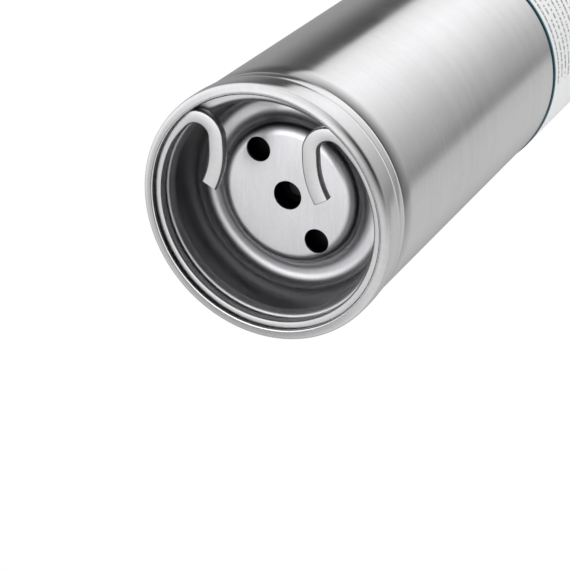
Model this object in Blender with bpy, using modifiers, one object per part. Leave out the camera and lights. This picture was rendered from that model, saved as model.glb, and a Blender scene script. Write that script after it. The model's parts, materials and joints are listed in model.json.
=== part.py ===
"""Stick immersion circulator: steel skirt tube with a drawn intake cup held by a
hooked wire ring, pump and heater inside the tube, and a plastic control head with
a rear screw clamp.  Metres, +Z up, standing on the skirt lip at z = 0.
The skirt axis stands at x = 0, y = AXIS_Y; the control panel faces -Y."""
import math

import bmesh
import bpy
from mathutils import Vector

MM = 0.001

# ---- driving dimensions (millimetres) -------------------------------------------
AXIS_Y = -29.0            # skirt axis, so the whole outline is centred on the origin
TUBE_R = 30.0             # outer radius of the skirt tube
TUBE_IN = 29.25           # bore of the skirt tube
TUBE_TOP = 207.6
RIM_R = 30.42             # widest line of the rolled rim
WAIST_R = 29.42           # fine groove between the rim bands and the shoulder
LIP_IN = 27.8             # inner edge of the rolled lip
FOOT_R0, FOOT_R1 = 28.45, 29.05   # flat ring the tube stands on
GROOVE_R = 28.95          # undercut behind the lip
WIRE_R = 27.25            # centreline radius of the retaining ring
WIRE_W = 2.85             # width of the flat wire
WIRE_Z0, WIRE_Z1 = 1.15, 3.15
HOOK_BEND = 4.75          # centreline radius of the tight bend of each hook
HOOK_LEG = 15.0           # centreline radius of the gently curved leg
HOOK_SWEEP = 38.0         # degrees of leg
GAP_ANGLE = -146.1        # direction of the ring opening, degrees about +Z
CUP_Z = 3.45              # front face of the cup flange
CUP_T = 0.6               # sheet thickness of the cup
DISC_Z = 12.5             # front face of the raised disc
TROUGH_Z = 16.6           # deepest line of the annular trough
CENTRE_HOLE_R = 3.38
SIDE_HOLE_R = 2.92
SIDE_HOLE_PITCH = 12.34
LABEL_Z0, LABEL_Z1 = 109.6, 166.0
SHAFT_R = 2.5
COIL_R, COIL_WIRE_R = 19.5, 3.1
BULK_Z0, BULK_Z1 = 184.0, 187.0
HEAD_R = 40.0
HEAD_Z0 = 200.0
WALL = 2.4
PANEL_Z = 352.0           # where the panel plane crosses the skirt axis
PANEL_TILT = 35.0         # degrees from horizontal, facing -Y
PANEL_T = 3.4
SCREW_Z = 164.0           # height of the clamp screw axis
PAD_FACE_Y = 42.0         # moving pad face, from the skirt axis
WALL_PAD_Y = 36.5         # fixed pad face
LEG_Y0, LEG_Y1 = 66.0, 74.0
BRACKET_HALF = 14.0
GAP = 0.3                 # clearance between neighbouring pieces


# ---- scene and materials ---------------------------------------------------------
def clear_scene():
    for ob in list(bpy.data.objects):
        bpy.data.objects.remove(ob, do_unlink=True)
    for col in list(bpy.data.collections):
        bpy.data.collections.remove(col)


def make_collection(name):
    col = bpy.data.collections.new(name)
    bpy.context.scene.collection.children.link(col)
    return col


def material(name, colour, rough, metal):
    mat = bpy.data.materials.new(name)
    mat.use_nodes = True
    bsdf = mat.node_tree.nodes["Principled BSDF"]
    bsdf.inputs["Base Color"].default_value = (*colour, 1.0)
    bsdf.inputs["Roughness"].default_value = rough
    bsdf.inputs["Metallic"].default_value = metal
    mat.diffuse_color = (*colour, 1.0)
    return mat


clear_scene()
PARTS = make_collection("sous_vide_circulator")


def empty(name, location, rotation=(0, 0, 0), parent=None):
    ob = bpy.data.objects.new(name, None)
    ob.location = [v * MM for v in location]
    ob.rotation_euler = [math.radians(v) for v in rotation]
    ob.parent = parent
    PARTS.objects.link(ob)
    return ob


STAND = empty("stand_axis", (0, AXIS_Y, 0))
PANEL = empty("panel_frame", (0, 0, PANEL_Z), (PANEL_TILT, 0, 0), STAND)
CLAMP = empty("clamp_axis", (0, 0, SCREW_Z), (-90, 0, 0), STAND)


# ---- modelling helpers -----------------------------------------------------------
def new_object(name, mesh, col=None):
    ob = bpy.data.objects.new(name, mesh)
    (col or PARTS).objects.link(ob)
    return ob


def bake(ob):
    """Turn an object's modifiers into plain mesh."""
    bpy.context.view_layer.update()
    graph = bpy.context.evaluated_depsgraph_get()
    mesh = bpy.data.meshes.new_from_object(ob.evaluated_get(graph))
    ob.modifiers.clear()
    old = ob.data
    ob.data = mesh
    bpy.data.meshes.remove(old)
    return ob


def clockwise(points):
    area = 0.0
    for i, (r0, z0) in enumerate(points):
        r1, z1 = points[(i + 1) % len(points)]
        area += r0 * z1 - r1 * z0
    return points if area < 0 else points[::-1]


def lathe(name, points, steps=32, closed=True, angle=360.0):
    """Revolve an (r, z) profile about Z.  A closed profile makes a ring, an open one
    starts and ends on the axis."""
    points = clockwise(list(points)) if closed or angle == 360.0 else list(points)
    mesh = bpy.data.meshes.new(name)
    bm = bmesh.new()
    verts = [bm.verts.new((r * MM, 0, z * MM)) for r, z in points]
    for a, b in zip(verts, verts[1:]):
        bm.edges.new((a, b))
    if closed:
        bm.edges.new((verts[-1], verts[0]))
    bm.to_mesh(mesh)
    bm.free()
    ob = new_object(name, mesh)
    screw = ob.modifiers.new("revolve", "SCREW")
    screw.angle = math.radians(angle)
    screw.steps = steps
    screw.render_steps = steps
    screw.use_merge_vertices = True
    screw.merge_threshold = 0.00001
    return bake(ob)


def rod(name, radius, z0, z1, steps=24, edge=0.3):
    pts = [(0, z1), (radius - edge, z1), (radius, z1 - edge)]
    pts += [(radius, z0 + edge), (radius - edge, z0), (0, z0)]
    return lathe(name, pts, steps, closed=False)


def ring(name, r_in, r_out, z0, z1, steps=32, edge=0.3):
    pts = [(r_in, z1), (r_out - edge, z1), (r_out, z1 - edge)]
    pts += [(r_out, z0 + edge), (r_out - edge, z0), (r_in, z0)]
    if edge == 0:
        pts = [(r_in, z1), (r_out, z1), (r_out, z0), (r_in, z0)]
    return lathe(name, pts, steps)


def block(name, size, centre, edge=0.5, segments=1):
    """Rectangular block with softened edges; the origin stays at its parent's."""
    mesh = bpy.data.meshes.new(name)
    bm = bmesh.new()
    bmesh.ops.create_cube(bm, size=1.0)
    for v in bm.verts:
        v.co = Vector([(v.co[i] * size[i] + centre[i]) * MM for i in range(3)])
    bm.to_mesh(mesh)
    bm.free()
    ob = new_object(name, mesh)
    if edge > 0:
        bevel = ob.modifiers.new("edge", "BEVEL")
        bevel.width = edge * MM
        bevel.segments = segments
        bevel.limit_method = "NONE"
    return bake(ob)


def plate(name, outline, z0, z1, edge=0.0):
    """Extrude a closed 2D outline between two heights."""
    curve = bpy.data.curves.new(name, "CURVE")
    curve.dimensions = "2D"
    curve.fill_mode = "BOTH"
    spline = curve.splines.new("POLY")
    spline.points.add(len(outline) - 1)
    for point, (x, y) in zip(spline.points, outline):
        point.co = (x * MM, y * MM, 0, 1)
    spline.use_cyclic_u = True
    curve.extrude = (z1 - z0) / 2 * MM - edge * MM
    curve.bevel_depth = edge * MM
    curve.bevel_resolution = 0
    curve.offset = -edge * MM
    temp = new_object(name + "_outline", curve)
    bpy.context.view_layer.update()
    graph = bpy.context.evaluated_depsgraph_get()
    mesh = bpy.data.meshes.new_from_object(temp.evaluated_get(graph))
    bpy.data.objects.remove(temp, do_unlink=True)
    bm = bmesh.new()
    bm.from_mesh(mesh)
    bmesh.ops.remove_doubles(bm, verts=bm.verts, dist=0.000002)
    bmesh.ops.translate(bm, verts=bm.verts, vec=(0, 0, (z0 + z1) / 2 * MM))
    bmesh.ops.recalc_face_normals(bm, faces=bm.faces)
    bm.to_mesh(mesh)
    bm.free()
    mesh.name = name
    return new_object(name, mesh)


def bent_rod(name, points, radius, sides=10):
    """Round bar along a path, with flat filled ends."""
    curve = bpy.data.curves.new(name, "CURVE")
    curve.dimensions = "3D"
    spline = curve.splines.new("POLY")
    spline.points.add(len(points) - 1)
    for point, co in zip(spline.points, points):
        point.co = (co[0] * MM, co[1] * MM, co[2] * MM, 1)
    curve.bevel_depth = radius * MM
    curve.bevel_resolution = max(0, sides // 4 - 1)
    curve.use_fill_caps = True
    temp = new_object(name + "_path", curve)
    bpy.context.view_layer.update()
    graph = bpy.context.evaluated_depsgraph_get()
    mesh = bpy.data.meshes.new_from_object(temp.evaluated_get(graph))
    bpy.data.objects.remove(temp, do_unlink=True)
    bm = bmesh.new()
    bm.from_mesh(mesh)
    bmesh.ops.remove_doubles(bm, verts=bm.verts, dist=0.000002)
    bmesh.ops.recalc_face_normals(bm, faces=bm.faces)
    bm.to_mesh(mesh)
    bm.free()
    mesh.name = name
    return new_object(name, mesh)


def combine(ob, other, operation):
    mod = ob.modifiers.new(operation.lower(), "BOOLEAN")
    mod.operation = operation
    mod.solver = "EXACT"
    mod.object = other
    bake(ob)
    bpy.data.objects.remove(other, do_unlink=True)
    return ob


def cut(ob, tool):
    return combine(ob, tool, "DIFFERENCE")


def join(ob, other):
    return combine(ob, other, "UNION")


def keep(ob, other):
    return combine(ob, other, "INTERSECT")


def shift(ob, offset=(0, 0, 0), rotation=(0, 0, 0)):
    """Move the mesh itself, leaving the object's own transform alone."""
    from mathutils import Euler
    turn = Euler([math.radians(v) for v in rotation]).to_matrix().to_4x4()
    turn.translation = Vector([v * MM for v in offset])
    ob.data.transform(turn)
    return ob


def finish(ob, mat, parent=STAND, smooth=35.0):
    ob.data.materials.clear()
    ob.data.materials.append(mat)
    for poly in ob.data.polygons:
        poly.use_smooth = True
    ob.data.set_sharp_from_angle(angle=math.radians(smooth))
    ob.parent = parent
    return ob


def arc(cx, cy, radius, a0, a1, count):
    out = []
    for i in range(count + 1):
        a = math.radians(a0 + (a1 - a0) * i / count)
        out.append((cx + radius * math.cos(a), cy + radius * math.sin(a)))
    return out


def rounded_rect(width, height, corner, per_corner=3):
    w, h = width / 2 - corner, height / 2 - corner
    out = []
    for cx, cy, a in ((w, h, 0), (-w, h, 90), (-w, -h, 180), (w, -h, 270)):
        out += arc(cx, cy, corner, a, a + 90, per_corner)
    return out


def offset_sheet(points, thickness):
    """Close an (r, z) line into a sheet section of even thickness above it."""
    back = []
    for i, (r, z) in enumerate(points):
        r0, z0 = points[max(i - 1, 0)]
        r1, z1 = points[min(i + 1, len(points) - 1)]
        dr, dz = r1 - r0, z1 - z0
        size = math.hypot(dr, dz)
        back.append((max(0.0, r - dz / size * thickness * -1), z - dr / size * thickness))
    return back


# ---- materials -------------------------------------------------------------------
STEEL = material("brushed_stainless", (0.62, 0.62, 0.63), 0.30, 1.0)
CUP_STEEL = material("drawn_stainless", (0.50, 0.50, 0.52), 0.35, 1.0)
WIRE_STEEL = material("satin_wire", (0.60, 0.60, 0.61), 0.42, 1.0)
LABEL_WHITE = material("label_film", (0.86, 0.88, 0.89), 0.45, 0.0)
SEAL_RUBBER = material("seal_rubber", (0.03, 0.03, 0.03), 0.70, 0.0)
PAD_RUBBER = material("pad_rubber", (0.06, 0.06, 0.065), 0.75, 0.0)
PUMP_PLASTIC = material("pump_plastic", (0.05, 0.05, 0.055), 0.55, 0.0)
ROTOR_PLASTIC = material("rotor_plastic", (0.75, 0.74, 0.70), 0.45, 0.0)
SHAFT_STEEL = material("ground_steel", (0.66, 0.66, 0.67), 0.22, 1.0)
COIL_STEEL = material("heater_sheath", (0.42, 0.41, 0.40), 0.38, 1.0)
BRASS = material("brass", (0.70, 0.52, 0.24), 0.35, 1.0)
ALUMINIUM = material("aluminium", (0.60, 0.61, 0.62), 0.40, 1.0)
MOTOR_ZINC = material("motor_can_zinc", (0.48, 0.49, 0.50), 0.38, 1.0)
BOARD_GREEN = material("circuit_board", (0.03, 0.19, 0.10), 0.50, 0.0)
PART_BLACK = material("component_black", (0.03, 0.03, 0.035), 0.45, 0.0)
PART_YELLOW = material("winding_tape", (0.78, 0.60, 0.12), 0.55, 0.0)
PART_BLUE = material("capacitor_sleeve", (0.05, 0.11, 0.30), 0.40, 0.0)
SHELL_BLACK = material("shell_plastic", (0.035, 0.036, 0.040), 0.48, 0.0)
COLLAR_GREY = material("collar_plastic", (0.09, 0.09, 0.095), 0.50, 0.0)
PANEL_BLACK = material("panel_gloss", (0.015, 0.015, 0.018), 0.12, 0.0)
LENS_DARK = material("lens_glass", (0.01, 0.012, 0.015), 0.05, 0.0)
LIGHT_RING = material("light_ring_plastic", (0.70, 0.78, 0.80), 0.35, 0.0)
BUTTON_GREY = material("button_plastic", (0.30, 0.31, 0.32), 0.50, 0.0)
DIAL_METAL = material("dial_aluminium", (0.68, 0.68, 0.69), 0.28, 1.0)
SCREW_STEEL = material("plated_screw", (0.45, 0.45, 0.46), 0.35, 1.0)
BRACKET_MAT = material("bracket_plastic", (0.05, 0.05, 0.055), 0.50, 0.0)
KNOB_MAT = material("knob_plastic", (0.07, 0.07, 0.075), 0.50, 0.0)


# ---- skirt -----------------------------------------------------------------------
def outer_tube():
    outer = [(TUBE_R, TUBE_TOP), (TUBE_R, 14.6), (TUBE_R - 0.1, 12.8)]
    outer += [(TUBE_R - 0.32, 11.0), (WAIST_R, 10.0), (TUBE_R - 0.2, 9.7)]
    outer += [(RIM_R - 0.34, 9.0), (RIM_R - 0.22, 7.6), (RIM_R - 0.28, 6.5)]
    outer += [(RIM_R - 0.12, 5.2), (RIM_R, 2.6), (RIM_R - 0.06, 1.0)]
    outer += [(RIM_R - 0.32, 0.4), (RIM_R - 0.82, 0.13), (FOOT_R1, 0.0)]
    outer += [(FOOT_R0, 0.0), (LIP_IN + 0.12, 0.12), (LIP_IN, 0.25), (LIP_IN, 0.6)]
    inner = [(LIP_IN + 0.9, 0.8), (GROOVE_R, 1.1), (GROOVE_R, 11.6)]
    inner += [(TUBE_IN, 14.2), (TUBE_IN, TUBE_TOP)]
    ob = lathe("outer_tube", outer + inner, 44)
    for a in (34, 46, 58, 122, 134, 146):
        tool = plate("slot_tool", rounded_rect(3.4, 16.0, 1.6, 1), 25.0, 34.0)
        shift(tool, (0, 0, 0), (90, 0, 90))
        shift(tool, (0, 0, 52.0), (0, 0, a))
        cut(ob, tool)
    return finish(ob, STEEL)


def intake_cup():
    front = [(28.55, CUP_Z), (26.5, CUP_Z), (25.6, 3.6), (25.0, 4.1), (24.7, 4.9)]
    front += [(24.2, 10.0), (23.8, 13.1), (23.3, 14.9), (22.3, 16.1), (20.9, TROUGH_Z)]
    front += [(19.8, 16.5), (18.8, 15.9), (18.0, 14.9), (17.2, 13.5), (16.7, 12.85)]
    front += [(15.9, DISC_Z), (8.0, DISC_Z), (0, DISC_Z)]
    back = offset_sheet(front, CUP_T)
    back = back[0:1] + back[2:-2:2] + [back[-3], (0, DISC_Z + CUP_T)]
    ob = lathe("intake_cup", back[::-1] + front, 36, closed=False)
    cut(ob, rod("hole_tool", CENTRE_HOLE_R, 8, 20, 18, 0.1))
    for side in (-1, 1):
        tool = rod("hole_tool", SIDE_HOLE_R, 8, 20, 16, 0.1)
        cut(ob, shift(tool, (side * SIDE_HOLE_PITCH, 0, 0)))
    return finish(ob, CUP_STEEL)


def hook_centreline():
    """Half of the ring, from the hook tip to the point opposite the opening.
    The opening is along +Y of this sketch."""
    cx = (WIRE_R - HOOK_BEND) * math.sqrt(0.5)
    x_leg, y_leg = cx - HOOK_BEND, cx - 2.0
    leg = arc(x_leg + HOOK_LEG, y_leg, HOOK_LEG, 180 + HOOK_SWEEP, 180, 4)
    bend = arc(cx, cx, HOOK_BEND, 180, 45, 8)
    hoop = arc(0, 0, WIRE_R, 45, -90, 18)
    return leg + bend + hoop[1:]


def retaining_ring():
    half = hook_centreline()
    path = half + [(-x, y) for x, y in half[-2::-1]]
    left, right = [], []
    for i, (x, y) in enumerate(path):
        x0, y0 = path[max(i - 1, 0)]
        x1, y1 = path[min(i + 1, len(path) - 1)]
        size = math.hypot(x1 - x0, y1 - y0)
        nx, ny = -(y1 - y0) / size, (x1 - x0) / size
        left.append((x + nx * WIRE_W / 2, y + ny * WIRE_W / 2))
        right.append((x - nx * WIRE_W / 2, y - ny * WIRE_W / 2))
    ob = plate("retaining_ring", left + right[::-1], WIRE_Z0, WIRE_Z1, 0.25)
    shift(ob, (0, 0, 0), (0, 0, GAP_ANGLE - 90))
    return finish(ob, WIRE_STEEL)


def label_wrap():
    ob = lathe("label_wrap", [(TUBE_R + 0.1, LABEL_Z1), (TUBE_R + 0.1, LABEL_Z0)], 37,
               closed=False, angle=296.0)
    thick = ob.modifiers.new("film", "SOLIDIFY")
    thick.thickness = 0.2 * MM
    thick.offset = 1.0
    bake(ob)
    shift(ob, (0, 0, 0), (0, 0, 122))
    return finish(ob, LABEL_WHITE)


# ---- pump ------------------------------------------------------------------------
def cup_gasket():
    return finish(ring("cup_gasket", 25.9, 28.4, 4.4, 5.9, 28, 0), SEAL_RUBBER)


def pump_housing():
    pts = [(28.5, 34.0), (28.5, 6.2), (25.8, 6.2), (25.8, 18.0)]
    pts += [(9.0, 18.0), (9.0, 20.0), (26.3, 20.0), (26.3, 34.0)]
    return finish(lathe("pump_housing", pts, 28), PUMP_PLASTIC)


def blade(name, r0, r1, bow, thick, z0, z1, angle):
    """One curved vane between two radii."""
    left, right = [], []
    for i in range(5):
        f = i / 4
        r = r0 + (r1 - r0) * f
        a = math.radians(angle + bow * f * f)
        x, y = r * math.cos(a), r * math.sin(a)
        nx, ny = -math.sin(a), math.cos(a)
        left.append((x + nx * thick / 2, y + ny * thick / 2))
        right.append((x - nx * thick / 2, y - ny * thick / 2))
    return plate(name, right + left[::-1], z0, z1)


def impeller():
    pts = [(SHAFT_R + GAP, 31.0), (21.2, 31.0), (21.5, 30.7), (21.5, 29.3), (21.2, 29.0)]
    pts += [(7.0, 29.0), (6.0, 28.0), (6.0, 22.0), (5.6, 21.6), (SHAFT_R + GAP, 21.6)]
    ob = lathe("impeller", pts, 24)
    for k in range(6):
        join(ob, blade("vane", 5.2, 21.0, -38, 1.6, 22.4, 29.6, 60 * k))
    return finish(ob, ROTOR_PLASTIC)


def impeller_nut():
    ob = ring("impeller_nut", 3.15, 5.0, 18.6, 21.3, 6, 0.3)
    return finish(ob, BRASS)


def motor_shaft():
    return finish(rod("motor_shaft", SHAFT_R, 17.8, 268.0, 18, 0.4), SHAFT_STEEL)


def bearing_spider():
    ob = ring("bearing_spider", 24.6, 28.5, 34.3, 38.3, 32, 0.3)
    join(ob, ring("hub", 5.3, 8.4, 34.3, 39.6, 18, 0))
    for k in range(3):
        arm = block("arm", (17.6, 3.2, 3.4), (16.6, 0, 36.3), 0.4)
        join(ob, shift(arm, (0, 0, 0), (0, 0, 30 + 120 * k)))
    return finish(ob, PUMP_PLASTIC)


def shaft_bush():
    return finish(ring("shaft_bush", SHAFT_R + GAP, 4.98, 33.4, 40.4, 18, 0), BRASS)


# ---- heater and sensors ----------------------------------------------------------
COIL_Z0, COIL_TURNS, COIL_PITCH = 50.0, 4, 12.5


def heating_coil():
    pts = [(-11, 0, 196.0), (-11, 0, 120.0), (-11, 0, 53.0)]
    pts += [(-11.8, 0.0, 49.0), (-13.8, -0.6, 46.9), (-16.4, -2.4, 46.6)]
    count = COIL_TURNS * 16
    for i in range(1, count + 1):
        f = i / count
        a = math.radians(196 + 360 * COIL_TURNS * f)
        pts.append((COIL_R * math.cos(a), COIL_R * math.sin(a),
                    COIL_Z0 - 2.8 + COIL_PITCH * COIL_TURNS * f))
    a = math.radians(216)
    x, y, z = COIL_R * math.cos(a), COIL_R * math.sin(a), pts[-1][2]
    pts += [(x, y, z + 3.2)]
    a = math.radians(224)
    x, y = COIL_R * math.cos(a), COIL_R * math.sin(a)
    pts += [(x, y, z + 8.0), (x, y, 150.0), (x, y, 196.0)]
    return finish(bent_rod("heating_coil", pts, COIL_WIRE_R, 8), COIL_STEEL)


def sensor_rod(name, radius, reach, angle, distance=12.0):
    """Slim sheath hanging from the bulkhead with a domed lower end."""
    pts = [(0, 194.0), (radius - 0.3, 194.0), (radius, 193.7), (radius, reach + radius)]
    pts += [(radius * 0.92, reach + radius * 0.6), (radius * 0.7, reach + radius * 0.28)]
    pts += [(radius * 0.36, reach + radius * 0.06), (0, reach)]
    ob = lathe(name, pts, 10, closed=False)
    a = math.radians(angle)
    ob.location = (distance * math.cos(a) * MM, distance * math.sin(a) * MM, 0)
    return finish(ob, SHAFT_STEEL)


SENSORS = (("temperature_probe", 2.0, 58.0, 60), ("level_electrode_low", 1.5, 72.0, 300),
           ("level_electrode_high", 1.5, 104.0, 332))


def bulkhead_plate():
    ob = rod("bulkhead_plate", 28.95, BULK_Z0, BULK_Z1, 32, 0.4)
    cut(ob, rod("tool", 6.4, 180, 190, 18, 0.1))
    places = [(-11.0, 0.0, COIL_WIRE_R)]
    a = math.radians(224)
    places.append((COIL_R * math.cos(a), COIL_R * math.sin(a), COIL_WIRE_R))
    for _, radius, _, angle in SENSORS:
        a = math.radians(angle)
        places.append((12.0 * math.cos(a), 12.0 * math.sin(a), radius))
    for x, y, radius in places:
        cut(ob, shift(rod("tool", radius + GAP, 180, 190, 12, 0.1), (x, y, 0)))
    return finish(ob, ALUMINIUM)


def bulkhead_gasket():
    ob = ring("bulkhead_gasket", 25.6, 28.9, 187.3, 189.3, 28, 0)
    return finish(ob, SEAL_RUBBER)


def shaft_seal():
    ob = ring("shaft_seal", SHAFT_R + GAP, 6.1, 183.2, 187.8, 18, 0)
    return finish(ob, SEAL_RUBBER)


# ---- motor and fan ---------------------------------------------------------------
def motor_bracket():
    ob = ring("motor_bracket", 7.0, 34.0, 207.9, 210.4, 32, 0)
    return finish(ob, ALUMINIUM)


def motor_can():
    pts = [(SHAFT_R + GAP, 247.0), (16.8, 247.0), (18.0, 245.8), (18.0, 212.2)]
    pts += [(16.8, 211.0), (6.6, 211.0), (6.6, 208.9), (SHAFT_R + GAP, 208.9)]
    return finish(lathe("motor_can", pts, 28), MOTOR_ZINC)


def motor_end_cap():
    ob = ring("motor_end_cap", SHAFT_R + GAP, 14.5, 247.3, 251.3, 20, 0.8)
    return finish(ob, PART_BLACK)


def cooling_fan():
    ob = ring("cooling_fan", SHAFT_R + 0.2, 8.0, 255.0, 265.0, 16, 0)
    for k in range(7):
        vane = block("fan_vane", (16.0, 8.0, 1.4), (15.0, 0, 0), 0)
        shift(vane, (0, 0, 0), (34, 0, 0))
        join(ob, shift(vane, (0, 0, 260.0), (0, 0, 360 / 7 * k)))
    return finish(ob, PUMP_PLASTIC)


# ---- electronics -----------------------------------------------------------------
def main_board():
    ob = block("main_board", (39.0, 1.6, 91.0), (0, -28.4, 259.5), 0.2)
    return finish(ob, BOARD_GREEN)


def power_relay():
    ob = block("power_relay", (16.0, 7.0, 15.0), (0, -23.8, 224.0), 0.6)
    return finish(ob, PART_BLACK)


def transformer():
    ob = block("transformer", (20.0, 3.6, 20.0), (-7.0, -25.4, 284.0), 0.4)
    join(ob, block("core", (17.0, 12.0, 14.0), (-7.0, -19.0, 284.0), 0.6))
    return finish(ob, PART_YELLOW)


def filter_capacitor():
    ob = rod("filter_capacitor", 5.0, 0, 15.0, 16, 0.8)
    shift(ob, (12.0, -27.3, 280.0), (-90, 0, 0))
    return finish(ob, PART_BLUE)


def heat_sink():
    ob = block("heat_sink", (18.0, 3.0, 34.0), (0, 34.4, 292.0), 0.3)
    for k in range(4):
        join(ob, block("fin", (1.6, 11.0, 34.0), (-7.6 + 5.06 * k, 28.2, 292.0), 0.2))
    return finish(ob, ALUMINIUM)


# ---- head shells -----------------------------------------------------------------
def head_solid(name, inset, top_offset):
    """Round head body, cut off by the sloping panel plane."""
    r, z = HEAD_R - inset, HEAD_Z0 + inset
    pts = [(0, 395.0), (r, 395.0), (r, z + 12.0), (r - 0.7, z + 7.0), (r - 2.4, z + 3.2)]
    pts += [(r - 4.6, z + 0.9), (r - 7.0, z), (0, z)]
    ob = lathe(name, pts, 44, closed=False)
    tool = block("slope_tool", (140, 140, 120), (0, 0, 60 + top_offset), 0)
    shift(tool, (0, 0, PANEL_Z), (PANEL_TILT, 0, 0))
    return cut(ob, tool)


BOSS_X, BOSS_Z = 25.0, (230.0, 303.0)


def along_y(ob, x, z):
    return shift(ob, (x, 0, z), (-90, 0, 0))


def shell_half(name, front):
    """Half of the head wall, with four screw posts left standing in the hollow."""
    hollow = head_solid("inner_tool", WALL, 60.0)
    posts = [(x, z) for x in (-BOSS_X, BOSS_X) for z in BOSS_Z]
    for x, z in posts:
        cut(hollow, along_y(rod("post", 4.0, -60.0, 60.0, 10, 0.1), x, z))
    ob = head_solid(name, 0.0, -(PANEL_T + 2 * GAP + 1.6))
    cut(ob, hollow)
    cut(ob, rod("neck_tool", TUBE_R + GAP, 190.0, 206.0, 36, 0.1))
    side = 1 if front else -1
    cut(ob, block("half_tool", (120, 120, 260), (0, side * (60 - GAP / 2), 290), 0))
    for x, z in posts:
        cut(ob, along_y(rod("tool", 1.8, -22.0, 40.0, 8, 0.1), x, z))
        if not front:
            cut(ob, along_y(rod("tool", 3.2, 25.0, 50.0, 12, 0.1), x, z))
    return ob


def head_shell_front():
    return finish(shell_half("head_shell_front", True), SHELL_BLACK)


def head_shell_rear():
    ob = shell_half("head_shell_rear", False)
    for k in range(5):
        cut(ob, block("vent", (30.0, 30.0, 2.4), (0, 45.0, 243.0 + 6.0 * k), 0))
    cut(ob, along_y(rod("gland_tool", 5.7, 20.0, 60.0, 16, 0.1), 0, 331.0))
    return finish(ob, SHELL_BLACK)


def head_collar():
    ob = ring("head_collar", TUBE_R + 0.45, 36.0, 193.7, 199.7, 40, 0.8)
    tongue = block("tongue", (2 * BRACKET_HALF, 30.0, 6.0), (0, 46.0, 196.7), 0.8)
    join(ob, tongue)
    for x in (-8, 8):
        cut(ob, shift(rod("tool", 2.1, 190.0, 198.4, 12, 0.1), (x, 52, 0)))
    return finish(ob, COLLAR_GREY)


def shell_screws():
    n = 0
    for x in (-BOSS_X, BOSS_X):
        for z in BOSS_Z:
            n += 1
            ob = rod("screw_shank", 1.4, -20.0, 25.4, 8, 0.3)
            join(ob, rod("screw_head", 2.8, 25.3, 27.6, 12, 0.4))
            cut(ob, block("recess", (0.9, 3.2, 2.0), (0, 0, 27.8), 0))
            cut(ob, block("recess", (3.2, 0.9, 2.0), (0, 0, 27.8), 0))
            ob.name = "shell_screw_%d" % n
            ob.data.name = ob.name
            ob.rotation_euler = (math.radians(-90), 0, 0)
            ob.location = (x * MM, 0, z * MM)
            finish(ob, SCREW_STEEL)


def cable_gland():
    pts = [(0, 56.0), (4.4, 56.0), (5.0, 55.4), (6.2, 43.0), (8.2, 42.6), (8.6, 42.0)]
    pts += [(8.6, 40.5), (5.3, 40.5), (5.3, 33.0), (0, 33.0)]
    ob = lathe("cable_gland", pts, 22, closed=False)
    cut(ob, rod("cord_tool", 3.2, 44.0, 60.0, 16, 0.1))
    ob.rotation_euler = (math.radians(-90), 0, 0)
    ob.location = (0, 0, 331.0 * MM)
    return finish(ob, SEAL_RUBBER)


def gland_nut():
    ob = ring("gland_nut", 6.5, 9.6, 33.2, 36.0, 6, 0.4)
    ob.rotation_euler = (math.radians(-90), 0, 0)
    ob.location = (0, 0, 331.0 * MM)
    return finish(ob, ALUMINIUM)


# ---- control panel (sloping frame, z is the panel normal) --------------------------
def slope_slab(name, radius, low, high):
    """Slice of the upright head cylinder between two planes parallel to the panel."""
    ob = rod(name, radius, -80.0, 80.0, 44, 0.1)
    shift(ob, (0, 0, 0), (-PANEL_TILT, 0, 0))
    height = high - low
    return keep(ob, block("slab", (120, 140, height), (0, 0, low + height / 2), 0))


DIAL_XY = (0.0, -17.0)
BUTTONS = (("button_start", -22.0, -13.0), ("button_timer", 22.0, -13.0),
           ("button_minus", -16.0, -31.0), ("button_plus", 16.0, -31.0))
LENS = (45.0, 24.0, 0.0, 17.5)


def top_panel():
    ob = slope_slab("top_panel", HEAD_R, -PANEL_T, 0.0)
    bevel = ob.modifiers.new("edge", "BEVEL")
    bevel.width = 0.7 * MM
    bevel.segments = 1
    bevel.limit_method = "ANGLE"
    bevel.angle_limit = math.radians(50)
    bake(ob)
    w, h, x, y = LENS
    tool = plate("lens_tool", rounded_rect(w + 2 * GAP, h + 2 * GAP, 3.0, 3), -6, 6)
    cut(ob, shift(tool, (x, y, 0)))
    cut(ob, shift(rod("tool", 3.5, -6, 6, 16, 0.1), (*DIAL_XY, 0)))
    for _, bx, by in BUTTONS:
        cut(ob, shift(rod("tool", 4.5, -6, 6, 18, 0.1), (bx, by, 0)))
    return finish(ob, PANEL_BLACK, PANEL)


def light_ring():
    low = -(PANEL_T + GAP + 1.6)
    ob = slope_slab("light_ring", HEAD_R, low, low + 1.6)
    tool = rod("tool", HEAD_R - WALL, -80.0, 80.0, 44, 0.1)
    cut(ob, shift(tool, (0, 0, 0), (-PANEL_TILT, 0, 0)))
    return finish(ob, LIGHT_RING, PANEL)


def display_lens():
    w, h, x, y = LENS
    ob = plate("display_lens", rounded_rect(w, h, 2.7, 3), -2.6, 0.0, 0.2)
    return finish(shift(ob, (x, y, 0)), LENS_DARK, PANEL)


def display_module():
    ob = block("display_module", (42.0, 22.0, 4.0), (0, 17.5, -5.8), 0.4)
    return finish(ob, PART_BLACK, PANEL)


def control_board():
    ob = block("control_board", (48.0, 63.0, 1.6), (0, -4.5, -9.0), 0.2)
    for _, bx, by in BUTTONS:
        join(ob, block("switch", (5.0, 5.0, 2.8), (bx, by, -6.9), 0.3))
    return finish(ob, BOARD_GREEN, PANEL)


def dial_encoder():
    x, y = DIAL_XY
    ob = block("dial_encoder", (12.0, 12.0, 4.0), (x, y, -5.9), 0.5)
    return finish(ob, ALUMINIUM, PANEL)


def buzzer():
    ob = rod("buzzer", 6.0, -16.2, -10.2, 16, 0.5)
    cut(ob, rod("tool", 1.2, -18.0, -14.5, 8, 0.1))
    return finish(shift(ob, (14.0, 8.0, 0)), PART_BLACK, PANEL)


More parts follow.
